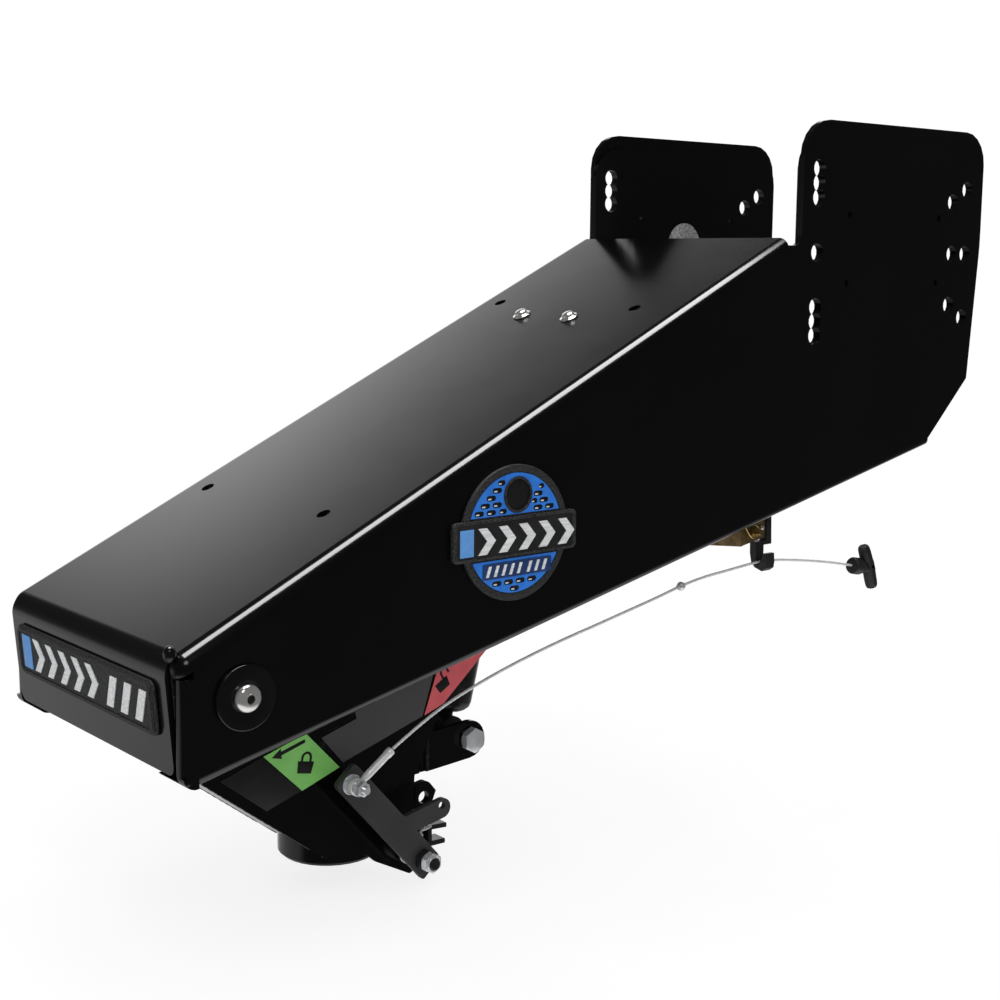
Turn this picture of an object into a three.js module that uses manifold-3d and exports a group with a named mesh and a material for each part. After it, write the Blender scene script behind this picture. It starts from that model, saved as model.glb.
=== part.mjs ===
// Gooseneck coupler head for a fifth-wheel trailer, in millimetres.
// +X runs rearward from the nose to the trailer frame, +Z up, the left side faces -Y.
// Inside the file X = 0 is the front bolt column, Y = 0 the middle of the head and
// Z = 0 the middle bolt row. The finished group is shifted so that the origin lies on
// the left wing's outer face, at the middle of its bolt pattern.
import * as THREE from 'three';
import { mergeVertices } from 'three/addons/utils/BufferGeometryUtils.js';
import Module from 'manifold-3d';

const wasm = await Module();
wasm.setup();

// ---- driving dimensions -------------------------------------------------------------
const HALF_WIDTH = 171.5;           // half of the 343 mm (13.5 in) hanger width
const SHEET = 6.35;                 // quarter inch plate
const GAP = 0.3;                    // clearance between touching pieces
const TOP_ANGLE = THREE.MathUtils.degToRad(25.18);
const TOP_HEIGHT = 37.35;           // height of the top plate's plane over the front bolts
const BOTTOM_ANGLE = THREE.MathUtils.degToRad(12.33);
const BOTTOM_HEIGHT = -281.5;       // height of the lower flange's plane over X = 0
const TOP_BEND = 16;                // outer bend radius, top plate to sides
const NOSE_BEND = 22;               // outer bend radius, top plate to front flap
const EDGE_BEND = 10;               // outer bend radius, sides to lower flanges
const FLANGE_WIDTH = 50;
const NOSE_X = -800;
const TOP_REAR_X = -46;
const FLAP_HALF = 156.5;
const FLAP_LEAN = THREE.MathUtils.degToRad(4.53);
const FLAP_X = -835.5;              // the flap's plane carried up to Z = 0
const FLAP_BOTTOM = -444.5;
const WING = { front: -27, rear: 312, top: 145.5, doublerTop: 129 };
const COLUMN_REAR = [254, 279.4];   // 10 in and 11 in behind the front bolts
const HOLE_R = 10.3;                // for 5/8 in bolts, with room to adjust
const ARM_PIVOT = { x: -740, z: -381 };
const LEVER_PIVOT = { x: -486, z: -614 };
const CABLE_BOLT = { x: -574, z: -516 };
const LOCK_HOLE = { x: -462, z: -562.5 };
const SHOCK_LOW = { x: -395, z: -514 };
const SHOCK_HIGH = { x: -312, z: -185 };
const CUP = { x: -541, bottom: -615, r: 54.2, ballZ: -590, ballR: 30.5 };
const SPRING_Y = 19.5;              // the air spring sits to the right of the middle
const STUD_X = -234.6;
const STUD_Y = [-20.3, 59.3];
const RAIL = { inner: 150, outer: 158, start: -419, rise: 0.2532 };
const COUPLER = { inner: 49, outer: 57 };
const EAR = { inner: 42, outer: 48.7 };
const LEVER_Y = [-88, -82];
const ROUND = 20;                   // sides of an ordinary round piece

const topZ = (x) => TOP_HEIGHT + x * Math.tan(TOP_ANGLE);
const bottomZ = (x) => BOTTOM_HEIGHT + x * Math.tan(BOTTOM_ANGLE);
const railZ = (x) => RAIL.start + RAIL.rise * (x - ARM_PIVOT.x);
const seamZ = (x) => topZ(x) - TOP_BEND / Math.cos(TOP_ANGLE) - GAP;

// ---- solids from three.js geometry --------------------------------------------------
function toSolid(geometry) {
  const bare = geometry.clone();
  bare.deleteAttribute('normal');
  bare.deleteAttribute('uv');
  const merged = mergeVertices(bare, 1e-4);
  return new wasm.Manifold(new wasm.Mesh({
    numProp: 3,
    vertProperties: new Float32Array(merged.attributes.position.array),
    triVerts: new Uint32Array(merged.index.array),
  }));
}

function toGeometry(shape) {
  const mesh = shape.getMesh();
  const geometry = new THREE.BufferGeometry();
  geometry.setAttribute('position', new THREE.BufferAttribute(mesh.vertProperties, 3));
  geometry.setIndex(new THREE.BufferAttribute(mesh.triVerts, 1));
  geometry.computeVertexNormals();
  return geometry;
}

// Corners are [a, b] or [a, b, radius]; a radius turns the corner into an arc.
function outline(corners, degreesPerStep = 18) {
  const points = [];
  const count = corners.length;
  for (let i = 0; i < count; i += 1) {
    const here = new THREE.Vector2(corners[i][0], corners[i][1]);
    const radius = corners[i][2] || 0;
    if (radius === 0) {
      points.push(here);
      continue;
    }
    const before = new THREE.Vector2(...corners[(i + count - 1) % count].slice(0, 2));
    const after = new THREE.Vector2(...corners[(i + 1) % count].slice(0, 2));
    const inward = before.sub(here).normalize();
    const outward = after.sub(here).normalize();
    const half = Math.acos(THREE.MathUtils.clamp(inward.dot(outward), -1, 1)) / 2;
    const reach = radius / Math.tan(half);
    const centre = inward.clone().add(outward).normalize()
      .multiplyScalar(radius / Math.sin(half)).add(here);
    const first = inward.multiplyScalar(reach).add(here).sub(centre);
    const last = outward.multiplyScalar(reach).add(here).sub(centre);
    let turn = Math.atan2(last.y, last.x) - Math.atan2(first.y, first.x);
    turn = THREE.MathUtils.euclideanModulo(turn + Math.PI, 2 * Math.PI) - Math.PI;
    const steps = Math.max(2, Math.ceil(Math.abs(THREE.MathUtils.radToDeg(turn)) / degreesPerStep));
    for (let k = 0; k <= steps; k += 1) {
      points.push(first.clone().rotateAround(new THREE.Vector2(), turn * k / steps).add(centre));
    }
  }
  return points;
}

function extrude(corners, depth, degreesPerStep) {
  const shape = new THREE.Shape(outline(corners, degreesPerStep));
  return new THREE.ExtrudeGeometry(shape, { depth, bevelEnabled: false });
}

// A flat plate whose outline is given as [x, z], between two heights of Y.
function plateY(corners, y0, y1, degreesPerStep) {
  const geometry = extrude(corners, y1 - y0, degreesPerStep);
  geometry.rotateX(Math.PI / 2);
  return toSolid(geometry.translate(0, y1, 0));
}

// A section given as [across Y, height], swept from `start` along a slope in XZ.
function sweep(corners, start, angle, length, degreesPerStep) {
  const geometry = extrude(corners, length, degreesPerStep);
  const basis = new THREE.Matrix4().makeBasis(
    new THREE.Vector3(0, 1, 0),
    new THREE.Vector3(-Math.sin(angle), 0, Math.cos(angle)),
    new THREE.Vector3(Math.cos(angle), 0, Math.sin(angle)),
  );
  geometry.applyMatrix4(basis).translate(start.x, start.y || 0, start.z);
  return toSolid(geometry);
}

// An outline given as [x, y], between two heights of Z.
function plateZ(corners, z0, z1) {
  return toSolid(extrude(corners, z1 - z0).translate(0, 0, z0));
}

function rodY(radius, y0, y1, at, sides = ROUND) {
  const geometry = new THREE.CylinderGeometry(radius, radius, y1 - y0, sides);
  return toSolid(geometry.translate(at.x, (y0 + y1) / 2, at.z));
}

// A turned piece on an axis: profile points are [radius, distance along the axis].
function turned(profile, at, axis, sides = ROUND) {
  const geometry = new THREE.LatheGeometry(profile.map(([r, h]) => new THREE.Vector2(r, h)), sides);
  const turn = new THREE.Quaternion().setFromUnitVectors(new THREE.Vector3(0, 1, 0), axis);
  geometry.applyQuaternion(turn).translate(at.x, at.y || 0, at.z);
  const shape = toSolid(geometry);
  return shape.volume() > 0 ? shape : toSolid(flipped(geometry));
}

function flipped(geometry) {
  const index = geometry.index.array;
  for (let i = 0; i < index.length; i += 3) {
    [index[i], index[i + 1]] = [index[i + 1], index[i]];
  }
  return geometry;
}

const ring = (inner, outer, from, to) => [
  [inner, from], [outer, from], [outer, to], [inner, to], [inner, from],
];
const rod = (radius, from, to) => [[0, from], [radius, from], [radius, to], [0, to]];
const Y_AXIS = new THREE.Vector3(0, 1, 0);
const Z_AXIS = new THREE.Vector3(0, 0, 1);
const hexagon = (flats, at) => Array.from({ length: 6 }, (_, i) => {
  const angle = Math.PI / 6 + i * Math.PI / 3;
  const corner = flats / Math.sqrt(3);
  return [at.x + corner * Math.cos(angle), at.z + corner * Math.sin(angle)];
});

function drill(shape, places, y0, y1) {
  const bore = ([x, z, r]) => rodY(r, y0, y1, { x, z }, r > 5 ? 14 : 8);
  return places.reduce((body, place) => body.subtract(bore(place)), shape);
}

function between(sign, inner, outer) {
  return sign < 0 ? [-outer, -inner] : [inner, outer];
}

// ---- the scene graph ----------------------------------------------------------------
const assembly = new THREE.Group();

const FINISH = {
  powder: { color: 0x0b0b0c, roughness: 0.28, metalness: 0.1 },
  zinc: { color: 0xc4c7c9, roughness: 0.3, metalness: 0.9 },
  yellowZinc: { color: 0xb28f4a, roughness: 0.38, metalness: 0.85 },
  polished: { color: 0xdadada, roughness: 0.12, metalness: 1 },
  rubber: { color: 0x17171a, roughness: 0.75, metalness: 0 },
  plastic: { color: 0x121314, roughness: 0.5, metalness: 0 },
  black: { color: 0x060607, roughness: 0.35, metalness: 0.4 },
  green: { color: 0x5cbf45, roughness: 0.45, metalness: 0 },
  red: { color: 0xd83a43, roughness: 0.45, metalness: 0 },
  blue: { color: 0x1f6fd0, roughness: 0.4, metalness: 0 },
  steel: { color: 0x9a9c9e, roughness: 0.35, metalness: 0.9 },
};

function add(name, shape, finish) {
  const mesh = new THREE.Mesh(toGeometry(shape), new THREE.MeshStandardMaterial(FINISH[finish]));
  mesh.name = name;
  assembly.add(mesh);
}

const SIDES = [['left', -1], ['right', 1]];

// ---- holes shared by the wings and their doublers -------------------------------------
const BOLT_HOLES = [[0, 0, HOLE_R]];
for (const row of [-76.2, 76.2]) {
  for (const step of [-15.875, 0, 15.875]) {
    BOLT_HOLES.push([0, row + step, HOLE_R]);
  }
}
BOLT_HOLES.push([COLUMN_REAR[0], 0, HOLE_R], [COLUMN_REAR[1] + 1.4, 0, HOLE_R]);
for (const sign of [-1, 1]) {
  BOLT_HOLES.push([COLUMN_REAR[0] - 2, sign * 61.5, HOLE_R]);
  BOLT_HOLES.push([COLUMN_REAR[1] + 1, sign * 77, HOLE_R]);
}
const SMALL_HOLES = [[55, 42, 4], [224.5, 42, 4], [54, -34.5, 4], [223.5, -34.5, 4]];
const WING_HOLES = BOLT_HOLES.concat(SMALL_HOLES);

// ---- head: top plate with its bends and front flap -----------------------------------
function headTopPlate() {
  const inner = TOP_BEND - SHEET;
  const hem = HALF_WIDTH - SHEET;
  const section = [
    [-HALF_WIDTH, -TOP_BEND], [-HALF_WIDTH, 0, TOP_BEND], [HALF_WIDTH, 0, TOP_BEND],
    [HALF_WIDTH, -TOP_BEND], [hem, -TOP_BEND], [hem, -SHEET, inner], [-hem, -SHEET, inner],
    [-hem, -TOP_BEND],
  ];
  const bendStart = -794.5;
  const start = { x: bendStart, z: topZ(bendStart) };
  const length = (TOP_REAR_X - bendStart) / Math.cos(TOP_ANGLE) + 20;
  const top = sweep(section, start, TOP_ANGLE, length, 6);
  const trim = plateY([[-900, -500], [TOP_REAR_X, -500], [TOP_REAR_X, 100], [-900, 100]], -200, 200);

  const flapX = (z) => FLAP_X - z * Math.tan(FLAP_LEAN);
  const cornerX = (FLAP_X - TOP_HEIGHT * Math.tan(FLAP_LEAN))
    / (1 + Math.tan(TOP_ANGLE) * Math.tan(FLAP_LEAN));
  const wall = SHEET / Math.cos(FLAP_LEAN);
  const innerCornerX = cornerX + 7.4;
  const under = SHEET / Math.cos(TOP_ANGLE);
  const flapProfile = [
    [bendStart + 4, topZ(bendStart + 4)], [cornerX, topZ(cornerX), NOSE_BEND],
    [flapX(FLAP_BOTTOM), FLAP_BOTTOM], [flapX(FLAP_BOTTOM) + wall, FLAP_BOTTOM],
    [innerCornerX, topZ(innerCornerX) - under, NOSE_BEND - SHEET],
    [bendStart + 4, topZ(bendStart + 4) - under],
  ];
  const flap = plateY(flapProfile, -FLAP_HALF, FLAP_HALF, 5);
  const corners = sweep([
    [-FLAP_HALF, 160], [-FLAP_HALF, 0, 10], [FLAP_HALF, 0, 10], [FLAP_HALF, 160],
  ], { x: -860, z: FLAP_BOTTOM }, 0, 120);
  return drillTop(top.intersect(trim).add(flap.intersect(corners)));
}

const TOP_NORMAL = new THREE.Vector3(-Math.sin(TOP_ANGLE), 0, Math.cos(TOP_ANGLE));
const onTop = (x, y, height) => new THREE.Vector3(x, y, topZ(x)).addScaledVector(TOP_NORMAL, height);
const DRAIN_HOLES = [[-208, 130], [-208, -95.5], [-603, 129], [-603, -88]];
const DRAIN_R = 7;
const STUD_R = 5;

function drillTop(shape) {
  let body = shape;
  for (const [x, y] of DRAIN_HOLES) {
    body = body.subtract(turned(rod(DRAIN_R, -20, 20), onTop(x, y, 0), TOP_NORMAL, 16));
  }
  for (const y of STUD_Y) {
    body = body.subtract(turned(rod(STUD_R + 0.6, -20, 20), onTop(STUD_X, y, 0), TOP_NORMAL, 16));
  }
  return body;
}
add('head_top_plate', headTopPlate(), 'powder');

// ---- head: side plates with wings, nose bends and lower flanges ------------------------
const SIDE_OUTLINE = [
  [NOSE_X, seamZ(NOSE_X)], [TOP_REAR_X + GAP, seamZ(TOP_REAR_X + GAP)],
  [TOP_REAR_X + GAP, 7.5], [WING.front, 7.5, 11], [WING.front, WING.top, 42],
  [WING.rear, WING.top, 38], [WING.rear, 10, 300], [297.5, -152.5],
  [224, bottomZ(224), 7], [NOSE_X, bottomZ(NOSE_X), 12],
];

function headSide(sign) {
  const [y0, y1] = between(sign, HALF_WIDTH - SHEET, HALF_WIDTH);
  const lift = EDGE_BEND / Math.cos(BOTTOM_ANGLE);
  const flat = plateY([
    ...SIDE_OUTLINE.slice(0, 8), [224, bottomZ(224) + lift],
    [NOSE_X + 12, bottomZ(NOSE_X + 12) + lift], [NOSE_X + 12, seamZ(NOSE_X + 12)],
  ].slice(1), y0, y1);
  const s = sign;
  const edge = HALF_WIDTH - SHEET;
  const lip = HALF_WIDTH - FLANGE_WIDTH;
  const lower = sweep([
    [s * HALF_WIDTH, EDGE_BEND + 3], [s * HALF_WIDTH, 0, EDGE_BEND], [s * lip, 0],
    [s * lip, SHEET], [s * edge, SHEET, EDGE_BEND - SHEET], [s * edge, EDGE_BEND + 3],
  ], { x: NOSE_X - 20, z: bottomZ(NOSE_X - 20) }, BOTTOM_ANGLE, 1070, 9);
  const nose = plateZ([
    [NOSE_X + 15, s * HALF_WIDTH], [NOSE_X, s * HALF_WIDTH, 10], [NOSE_X, s * (FLAP_HALF + 3)],
    [NOSE_X + SHEET, s * (FLAP_HALF + 3)], [NOSE_X + SHEET, s * edge, 3],
    [NOSE_X + 15, s * edge],
  ], -470, -358);
  const bound = between(sign, lip - 1, HALF_WIDTH + 1);
  const envelope = plateY(SIDE_OUTLINE, bound[0], bound[1]);
  const body = flat.add(lower).add(nose).intersect(envelope);
  const [h0, h1] = between(sign, 100, 200);
  const pivot = rodY(10.2, h0, h1, ARM_PIVOT);
  return drill(body, WING_HOLES, h0, h1).subtract(pivot);
}
for (const [side, sign] of SIDES) {
  add(`head_side_${side}`, headSide(sign), 'powder');
}

// ---- wing doublers, welded flat against the inside of the wings ------------------------
const DOUBLER_Y = [HALF_WIDTH - SHEET - 3.3, HALF_WIDTH - SHEET - GAP];
for (const [side, sign] of SIDES) {
  const [y0, y1] = between(sign, ...DOUBLER_Y);
  const plate = plateY([
    [WING.front, -130], [WING.front, WING.doublerTop, 38], [WING.rear - 1, WING.doublerTop, 36],
    [WING.rear - 1, 10], [300, -130],
  ], y0, y1);
  add(`wing_doubler_${side}`, drill(plate, WING_HOLES, y0 - 5, y1 + 5), 'powder');
}

// ---- nameplate on the flap, emblems on the sides ------------------------------------------
function nameplate() {
  const up = new THREE.Vector3(-Math.sin(FLAP_LEAN), 0, Math.cos(FLAP_LEAN));
  const inward = new THREE.Vector3(Math.cos(FLAP_LEAN), 0, Math.sin(FLAP_LEAN));
  const geometry = extrude([[-139.5, -25, 8], [139.5, -25, 8], [139.5, 25, 8], [-139.5, 25, 8]], 5.5);
  geometry.applyMatrix4(new THREE.Matrix4().makeBasis(Y_AXIS, up, inward));
  const middle = -387.5;
  const face = new THREE.Vector3(FLAP_X - middle * Math.tan(FLAP_LEAN), 0, middle);
  face.addScaledVector(inward, -5.5 - GAP);
  return toSolid(geometry.translate(face.x, 0, face.z));
}
add('nameplate', nameplate(), 'plastic');

const EMBLEM = { x: -440.5, z: -269.5, r: 66.5, thick: 6, bannerHalf: 77.5, bannerHigh: 20.5 };
for (const [side, sign] of SIDES) {
  const [y0, y1] = between(sign, HALF_WIDTH + GAP, HALF_WIDTH + EMBLEM.thick);
  const { x, z, bannerHalf: w, bannerHigh: h } = EMBLEM;
  const banner = plateY([
    [x - w, z - h - 2, 5], [x + w, z - h - 2, 5], [x + w, z + h - 4, 5], [x - w, z + h - 4, 5],
  ], y0, y1, 30);
  add(`side_emblem_${side}`, rodY(EMBLEM.r, y0, y1, EMBLEM, 32).add(banner), 'blue');
}

// ---- arm pivot: washer, bolt and bush on each side --------------------------------------
for (const [side, sign] of SIDES) {
  const out = new THREE.Vector3(0, sign, 0);
  const washerFace = HALF_WIDTH + 4.3;
  const profile = ring(10.3, 29.3, HALF_WIDTH + GAP, washerFace);
  add(`pivot_washer_${side}`, turned(profile, ARM_PIVOT, out, 28), 'powder');
  const bolt = [
    [0, 122], [9.8, 122], [9.8, washerFace + GAP], [12.5, washerFace + GAP],
    [12.5, washerFace + 2.5], [10.6, washerFace + 5.4], [7, washerFace + 7], [0, washerFace + 7],
  ];
  const socket = turned(rod(4.2, washerFace + 3.4, washerFace + 9), ARM_PIVOT, out, 6);
  add(`pivot_bolt_${side}`, turned(bolt, ARM_PIVOT, out).subtract(socket), 'polished');
  const bush = ring(10.2, 15.7, RAIL.inner - 1, RAIL.outer + 5);
  add(`pivot_bush_${side}`, turned(bush, ARM_PIVOT, out), 'yellowZinc');
}

// ---- arm: rails, pivot tube, deck and air spring seat -----------------------------------
const RAIL_OUTLINE = [
  [-778, -343, 30], [-778, -419, 30], [-700, railZ(-700)], [-105, railZ(-105), 20],
  [-105, -166, 20], [-215, -214], [-600, -335], [-690, -343],
];
for (const [side, sign] of SIDES) {
  const [y0, y1] = between(sign, RAIL.inner, RAIL.outer);
  const rail = plateY(RAIL_OUTLINE, y0, y1);
  add(`arm_rail_${side}`, rail.subtract(rodY(16, y0 - 5, y1 + 5, ARM_PIVOT)), 'powder');
}
const crossEnd = RAIL.inner - GAP;
const pivotTube = ring(10.8, 24, -crossEnd + 1, crossEnd - 1);
add('pivot_tube', turned(pivotTube, ARM_PIVOT, Y_AXIS), 'powder');
const DECK = { front: -706, rear: -446, low: 4, thick: 10 };
const deckCorner = (x, rise) => [x, railZ(x) + rise];
add('arm_deck', plateY([
  deckCorner(DECK.front, DECK.low), deckCorner(DECK.rear, DECK.low),
  deckCorner(DECK.rear, DECK.low + DECK.thick), deckCorner(DECK.front, DECK.low + DECK.thick),
], -crossEnd, crossEnd), 'powder');

// ---- air spring, square to the top plate -------------------------------------------------
const SPRING_DOWN = TOP_NORMAL.clone().negate();
const SPRING_TOP = onTop(STUD_X, SPRING_Y, 0);
const SPRING = { plate: [6.65, 11.6], bellows: [11.9, 118], piston: [118.3, 150], seat: [150.3, 160] };
add('air_spring_bead_plate', turned(rod(58, ...SPRING.plate), SPRING_TOP, SPRING_DOWN, 24), 'zinc');
add('air_spring_bellows', turned([
  [0, SPRING.bellows[0]], [54, SPRING.bellows[0]], [62, 24], [66, 38], [62, 54], [53, 64],
  [62, 74], [66, 90], [62, 105], [50, SPRING.bellows[1]], [0, SPRING.bellows[1]],
], SPRING_TOP, SPRING_DOWN, 24), 'rubber');
add('air_spring_piston', turned([
  [0, SPRING.piston[0]], [42, SPRING.piston[0]], [48, SPRING.piston[1]], [0, SPRING.piston[1]],
], SPRING_TOP, SPRING_DOWN, 24), 'plastic');
STUD_Y.forEach((y, i) => {
  const profile = [
    [0, -6.3], [STUD_R, -6.3], [STUD_R, GAP], [10.2, GAP], [10.2, 2], [7.4, 2.4], [6.4, 5.2],
    [3.6, 7.2], [0, 7.4],
  ];
  const name = `spring_stud_${['left', 'right'][i]}`;
  add(name, turned(profile, onTop(STUD_X, y, 0), TOP_NORMAL, 16), 'polished');
});

function springSeat() {
  const slope = new THREE.Vector3(Math.cos(TOP_ANGLE), 0, Math.sin(TOP_ANGLE));
  const depth = (SPRING.seat[0] + SPRING.seat[1]) / 2;
  const centre = SPRING_TOP.clone().addScaledVector(SPRING_DOWN, depth);
  const start = centre.addScaledVector(slope, -62);
  const half = (SPRING.seat[1] - SPRING.seat[0]) / 2;
  const section = [[-crossEnd, -half], [crossEnd, -half], [crossEnd, half], [-crossEnd, half]];
  return sweep(section, { x: start.x, z: start.z }, TOP_ANGLE, 124);
}
add('air_spring_seat', springSeat(), 'powder');

// ---- coupler: side plates, front and back plates, cup --------------------------------------
const couplerTop = (x) => railZ(x) + DECK.low - GAP;
const COUPLER_OUTLINE = [
  [-732, couplerTop(-732)], [-726, -470], [-719, -495], [-576, -605.5], [-536, -606],
  [-524, -617], [-480, -641, 4], [-462, -628, 4], [-460, -598], [-476, -575], [-474, -536.5], [-452, -495],
  [-445, -480.6], [-435, -466], [-380, -418], [-345, -388], [-345, couplerTop(-345)],
];
function cupSolid() {
  const { bottom, r, ballZ, ballR } = CUP;
  const arc = [];
  for (let k = 0; k <= 6; k += 1) {
    const angle = k * Math.PI / 12;
    arc.push([ballR * Math.cos(angle), ballZ + ballR * Math.sin(angle)]);
  }
  arc[arc.length - 1][0] = 0;
  const profile = [
    [0, -545], [40, -545], [r, -560], [r, bottom + 3.5], [r - 3.5, bottom], [38, bottom],
    [31.5, bottom + 9], ...arc,
  ];
  const body = turned(profile.reverse(), { x: CUP.x, z: 0 }, Z_AXIS, 32);
  const slot = plateY([[-524, -640], [-470, -640], [-470, -566], [-524, -566]], -22, 22);
  return body.subtract(slot).subtract(rodY(8.6, -60, 60, LEVER_PIVOT));
}
add('socket_cup', cupSolid(), 'powder');

const cupRoom = turned(rod(CUP.r + GAP, -700, -540), { x: CUP.x, z: 0 }, Z_AXIS, 32);
const shaftHole = (y0, y1) => rodY(8.5, y0, y1, LEVER_PIVOT);
for (const [side, sign] of SIDES) {
  const [y0, y1] = between(sign, COUPLER.inner, COUPLER.outer);
  const plate = plateY(COUPLER_OUTLINE, y0, y1).subtract(cupRoom);
  add(`coupler_plate_${side}`, plate.subtract(shaftHole(y0 - 2, y1 + 2)), 'powder');
}
const innerEnd = COUPLER.inner - GAP;
const frontPlate = plateY([
  [-719, -495], [-596, -590], [-591, -583.7], [-711, -491], [-718, -468], [-726, -470],
], -innerEnd, innerEnd);
add('coupler_front_plate', frontPlate.subtract(cupRoom), 'powder');
add('coupler_back_plate', plateY([
  [-461, -538], [-453, -538], [-453, -480], [-461, -480],
], -innerEnd, innerEnd), 'powder');
add('socket_top_plate', plateY([
  [-648.3, -539], [-461.5, -539], [-461.5, -531], [-658.5, -531],
], -innerEnd, innerEnd), 'powder');

// ---- shock absorber ears, bolt and nut ------------------------------------------------------
const EAR_OUTLINE = [
  [-452.5, -497.5], [-374.6, -493.6, 20.3], [-374.6, -534.4, 20.3], [-452.5, -539],
];
for (const [side, sign] of SIDES) {
  const [y0, y1] = between(sign, EAR.inner, EAR.outer);
  const ear = plateY(EAR_OUTLINE, y0, y1).subtract(rodY(8.5, y0 - 2, y1 + 2, SHOCK_LOW));
  add(`shock_ear_${side}`, ear, 'powder');
}

function hexBolt(flats, at, headY, thick, shankEnd, shankR) {
  const direction = Math.sign(headY);
  const outer = headY + direction * thick;
  const head = plateY(hexagon(flats, at), Math.min(headY, outer), Math.max(headY, outer));
  const shank = rodY(shankR, Math.min(shankEnd, headY), Math.max(shankEnd, headY), at, 20);
  return head.add(shank);
}
const earFace = EAR.outer + GAP;
add('shock_bolt', hexBolt(24, SHOCK_LOW, -earFace, 11, earFace + 18, 8), 'zinc');
add('shock_nut', plateY(hexagon(24, SHOCK_LOW), earFace, earFace + 13)
  .subtract(rodY(8.3, 40, 80, SHOCK_LOW)), 'zinc');

// ---- shock absorber and its upper bracket ---------------------------------------------------
const shockAxis = new THREE.Vector3(SHOCK_HIGH.x - SHOCK_LOW.x, 0, SHOCK_HIGH.z - SHOCK_LOW.z);
const SHOCK_LENGTH = shockAxis.length();
shockAxis.normalize();
const EYE_HALF = 19;

function eyeRing(at, bore) {
  return turned(ring(bore, 17, -EYE_HALF, EYE_HALF), at, Y_AXIS);
}
const canProfile = [
  [0, 12], [9, 12], [9, 20], [20, 24], [26, 33], [26, 196], [22, 200], [8.6, 200], [8.6, 50],
  [0, 50],
];
add('shock_can', turned(canProfile, SHOCK_LOW, shockAxis).add(eyeRing(SHOCK_LOW, 8.4))
  .subtract(rodY(8.4, -30, 30, SHOCK_LOW)), 'black');
const rodProfile = [
  [0, 110], [7.6, 110], [7.6, SHOCK_LENGTH - 12], [0, SHOCK_LENGTH - 12],
];
add('shock_rod', turned(rodProfile, SHOCK_LOW, shockAxis, 20).add(eyeRing(SHOCK_HIGH, 8.4))
  .subtract(rodY(8.4, -30, 30, SHOCK_HIGH)), 'steel');

function upperBracket() {
  const roof = (x) => topZ(x) - SHEET / Math.cos(TOP_ANGLE) - GAP;
  const base = plateY([
    [-362, roof(-362) - 7], [-292, roof(-292) - 7], [-292, roof(-292)], [-362, roof(-362)],
  ], -34, 34);
  const ear = [
    [-350, roof(-350) - 3], [-334, -206, 18], [-292, -206, 18], [-293, roof(-293) - 3],
  ];
  const ears = plateY(ear, -31, -24).add(plateY(ear, 24, 31));
  return base.add(ears).subtract(rodY(8.4, -50, 50, SHOCK_HIGH));
}
add('shock_upper_bracket', upperBracket(), 'powder');
add('shock_upper_bolt', hexBolt(24, SHOCK_HIGH, -31.3, 10, 44, 8), 'zinc');

// ---- locking lever, shaft, jaw and their fasteners ---------------------------------------------
add('lock_tab', plateY([
  [-473.4, -547], [-457, -544.5, 10], [-446, -558], [-452, -572, 10], [-473.4, -574],
], -57, -49).subtract(rodY(6.5, -60, -40, LOCK_HOLE, 20)), 'powder');

const barAlong = new THREE.Vector2(-95, 109.2).normalize();
const barAcross = new THREE.Vector2(-barAlong.y, barAlong.x);
const onBar = (along, across) => [
  LEVER_PIVOT.x + barAlong.x * along - barAcross.x * across,
  LEVER_PIVOT.z + barAlong.y * along - barAcross.y * across,
];
const leverOutline = [
  [...onBar(-17, -15), 3], [...onBar(-17, 15), 6], onBar(29, 15),
  [-452, -574.5, 10], [-450, -553, 10],
  [...onBar(53, 15), 4], [...onBar(144, 15), 5], [...onBar(144, -15), 5],
];
const lever = plateY(leverOutline, ...LEVER_Y)
  .subtract(rodY(8.3, -95, -75, LEVER_PIVOT))
  .subtract(rodY(4.4, -95, -75, CABLE_BOLT, 16))
  .subtract(rodY(4.2, -95, -75, LOCK_HOLE, 16));
add('lock_lever', lever, 'powder');
const leverFace = LEVER_Y[0] - GAP;
add('lever_shaft', turned([
  [0, -109], [6, -109], [6, -96.6], [8, -96.6], [8, 57.5], [13, 57.5], [13, 64], [0, 64],
], LEVER_PIVOT, Y_AXIS), 'zinc');
add('shaft_spacer', plateY(hexagon(20, LEVER_PIVOT), leverFace - 8, leverFace)
  .subtract(rodY(8.3, -120, -80, LEVER_PIVOT)), 'black');
add('shaft_nut', plateY(hexagon(19, LEVER_PIVOT), -106.9, -96.9)
  .subtract(rodY(6.3, -120, -80, LEVER_PIVOT)), 'zinc');
add('return_spring', turned(ring(9, 12.5, -80, -60), LEVER_PIVOT, Y_AXIS), 'steel');
add('ball_jaw', plateY([
  [-500, -622, 8], [-472, -622, 10], [-472, -606, 8], [-492, -592], [-498, -575.5], [-508.5, -575.5],
  [-508.5, -600], [-503, -612],
], -19, 19).subtract(rodY(8.3, -30, 30, LEVER_PIVOT)), 'steel');
add('stop_bracket', plateY([
  [-470, -586], [-446, -588], [-446, -593], [-465, -591.5], [-465, -603.5], [-448, -604.5],
  [-448, -609.5], [-470, -609],
], -75, -57.3), 'powder');
add('cable_bolt', plateY(hexagon(13, CABLE_BOLT), LEVER_Y[1] + GAP, LEVER_Y[1] + 5.6)
  .add(rodY(4, -116, LEVER_Y[1] + 2, CABLE_BOLT, 16)), 'zinc');
const nutY = -103.8;
add('cable_nut', plateY(hexagon(13, CABLE_BOLT), nutY - 7, nutY)
  .subtract(rodY(4.3, -130, -90, CABLE_BOLT, 16)), 'zinc');

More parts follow.
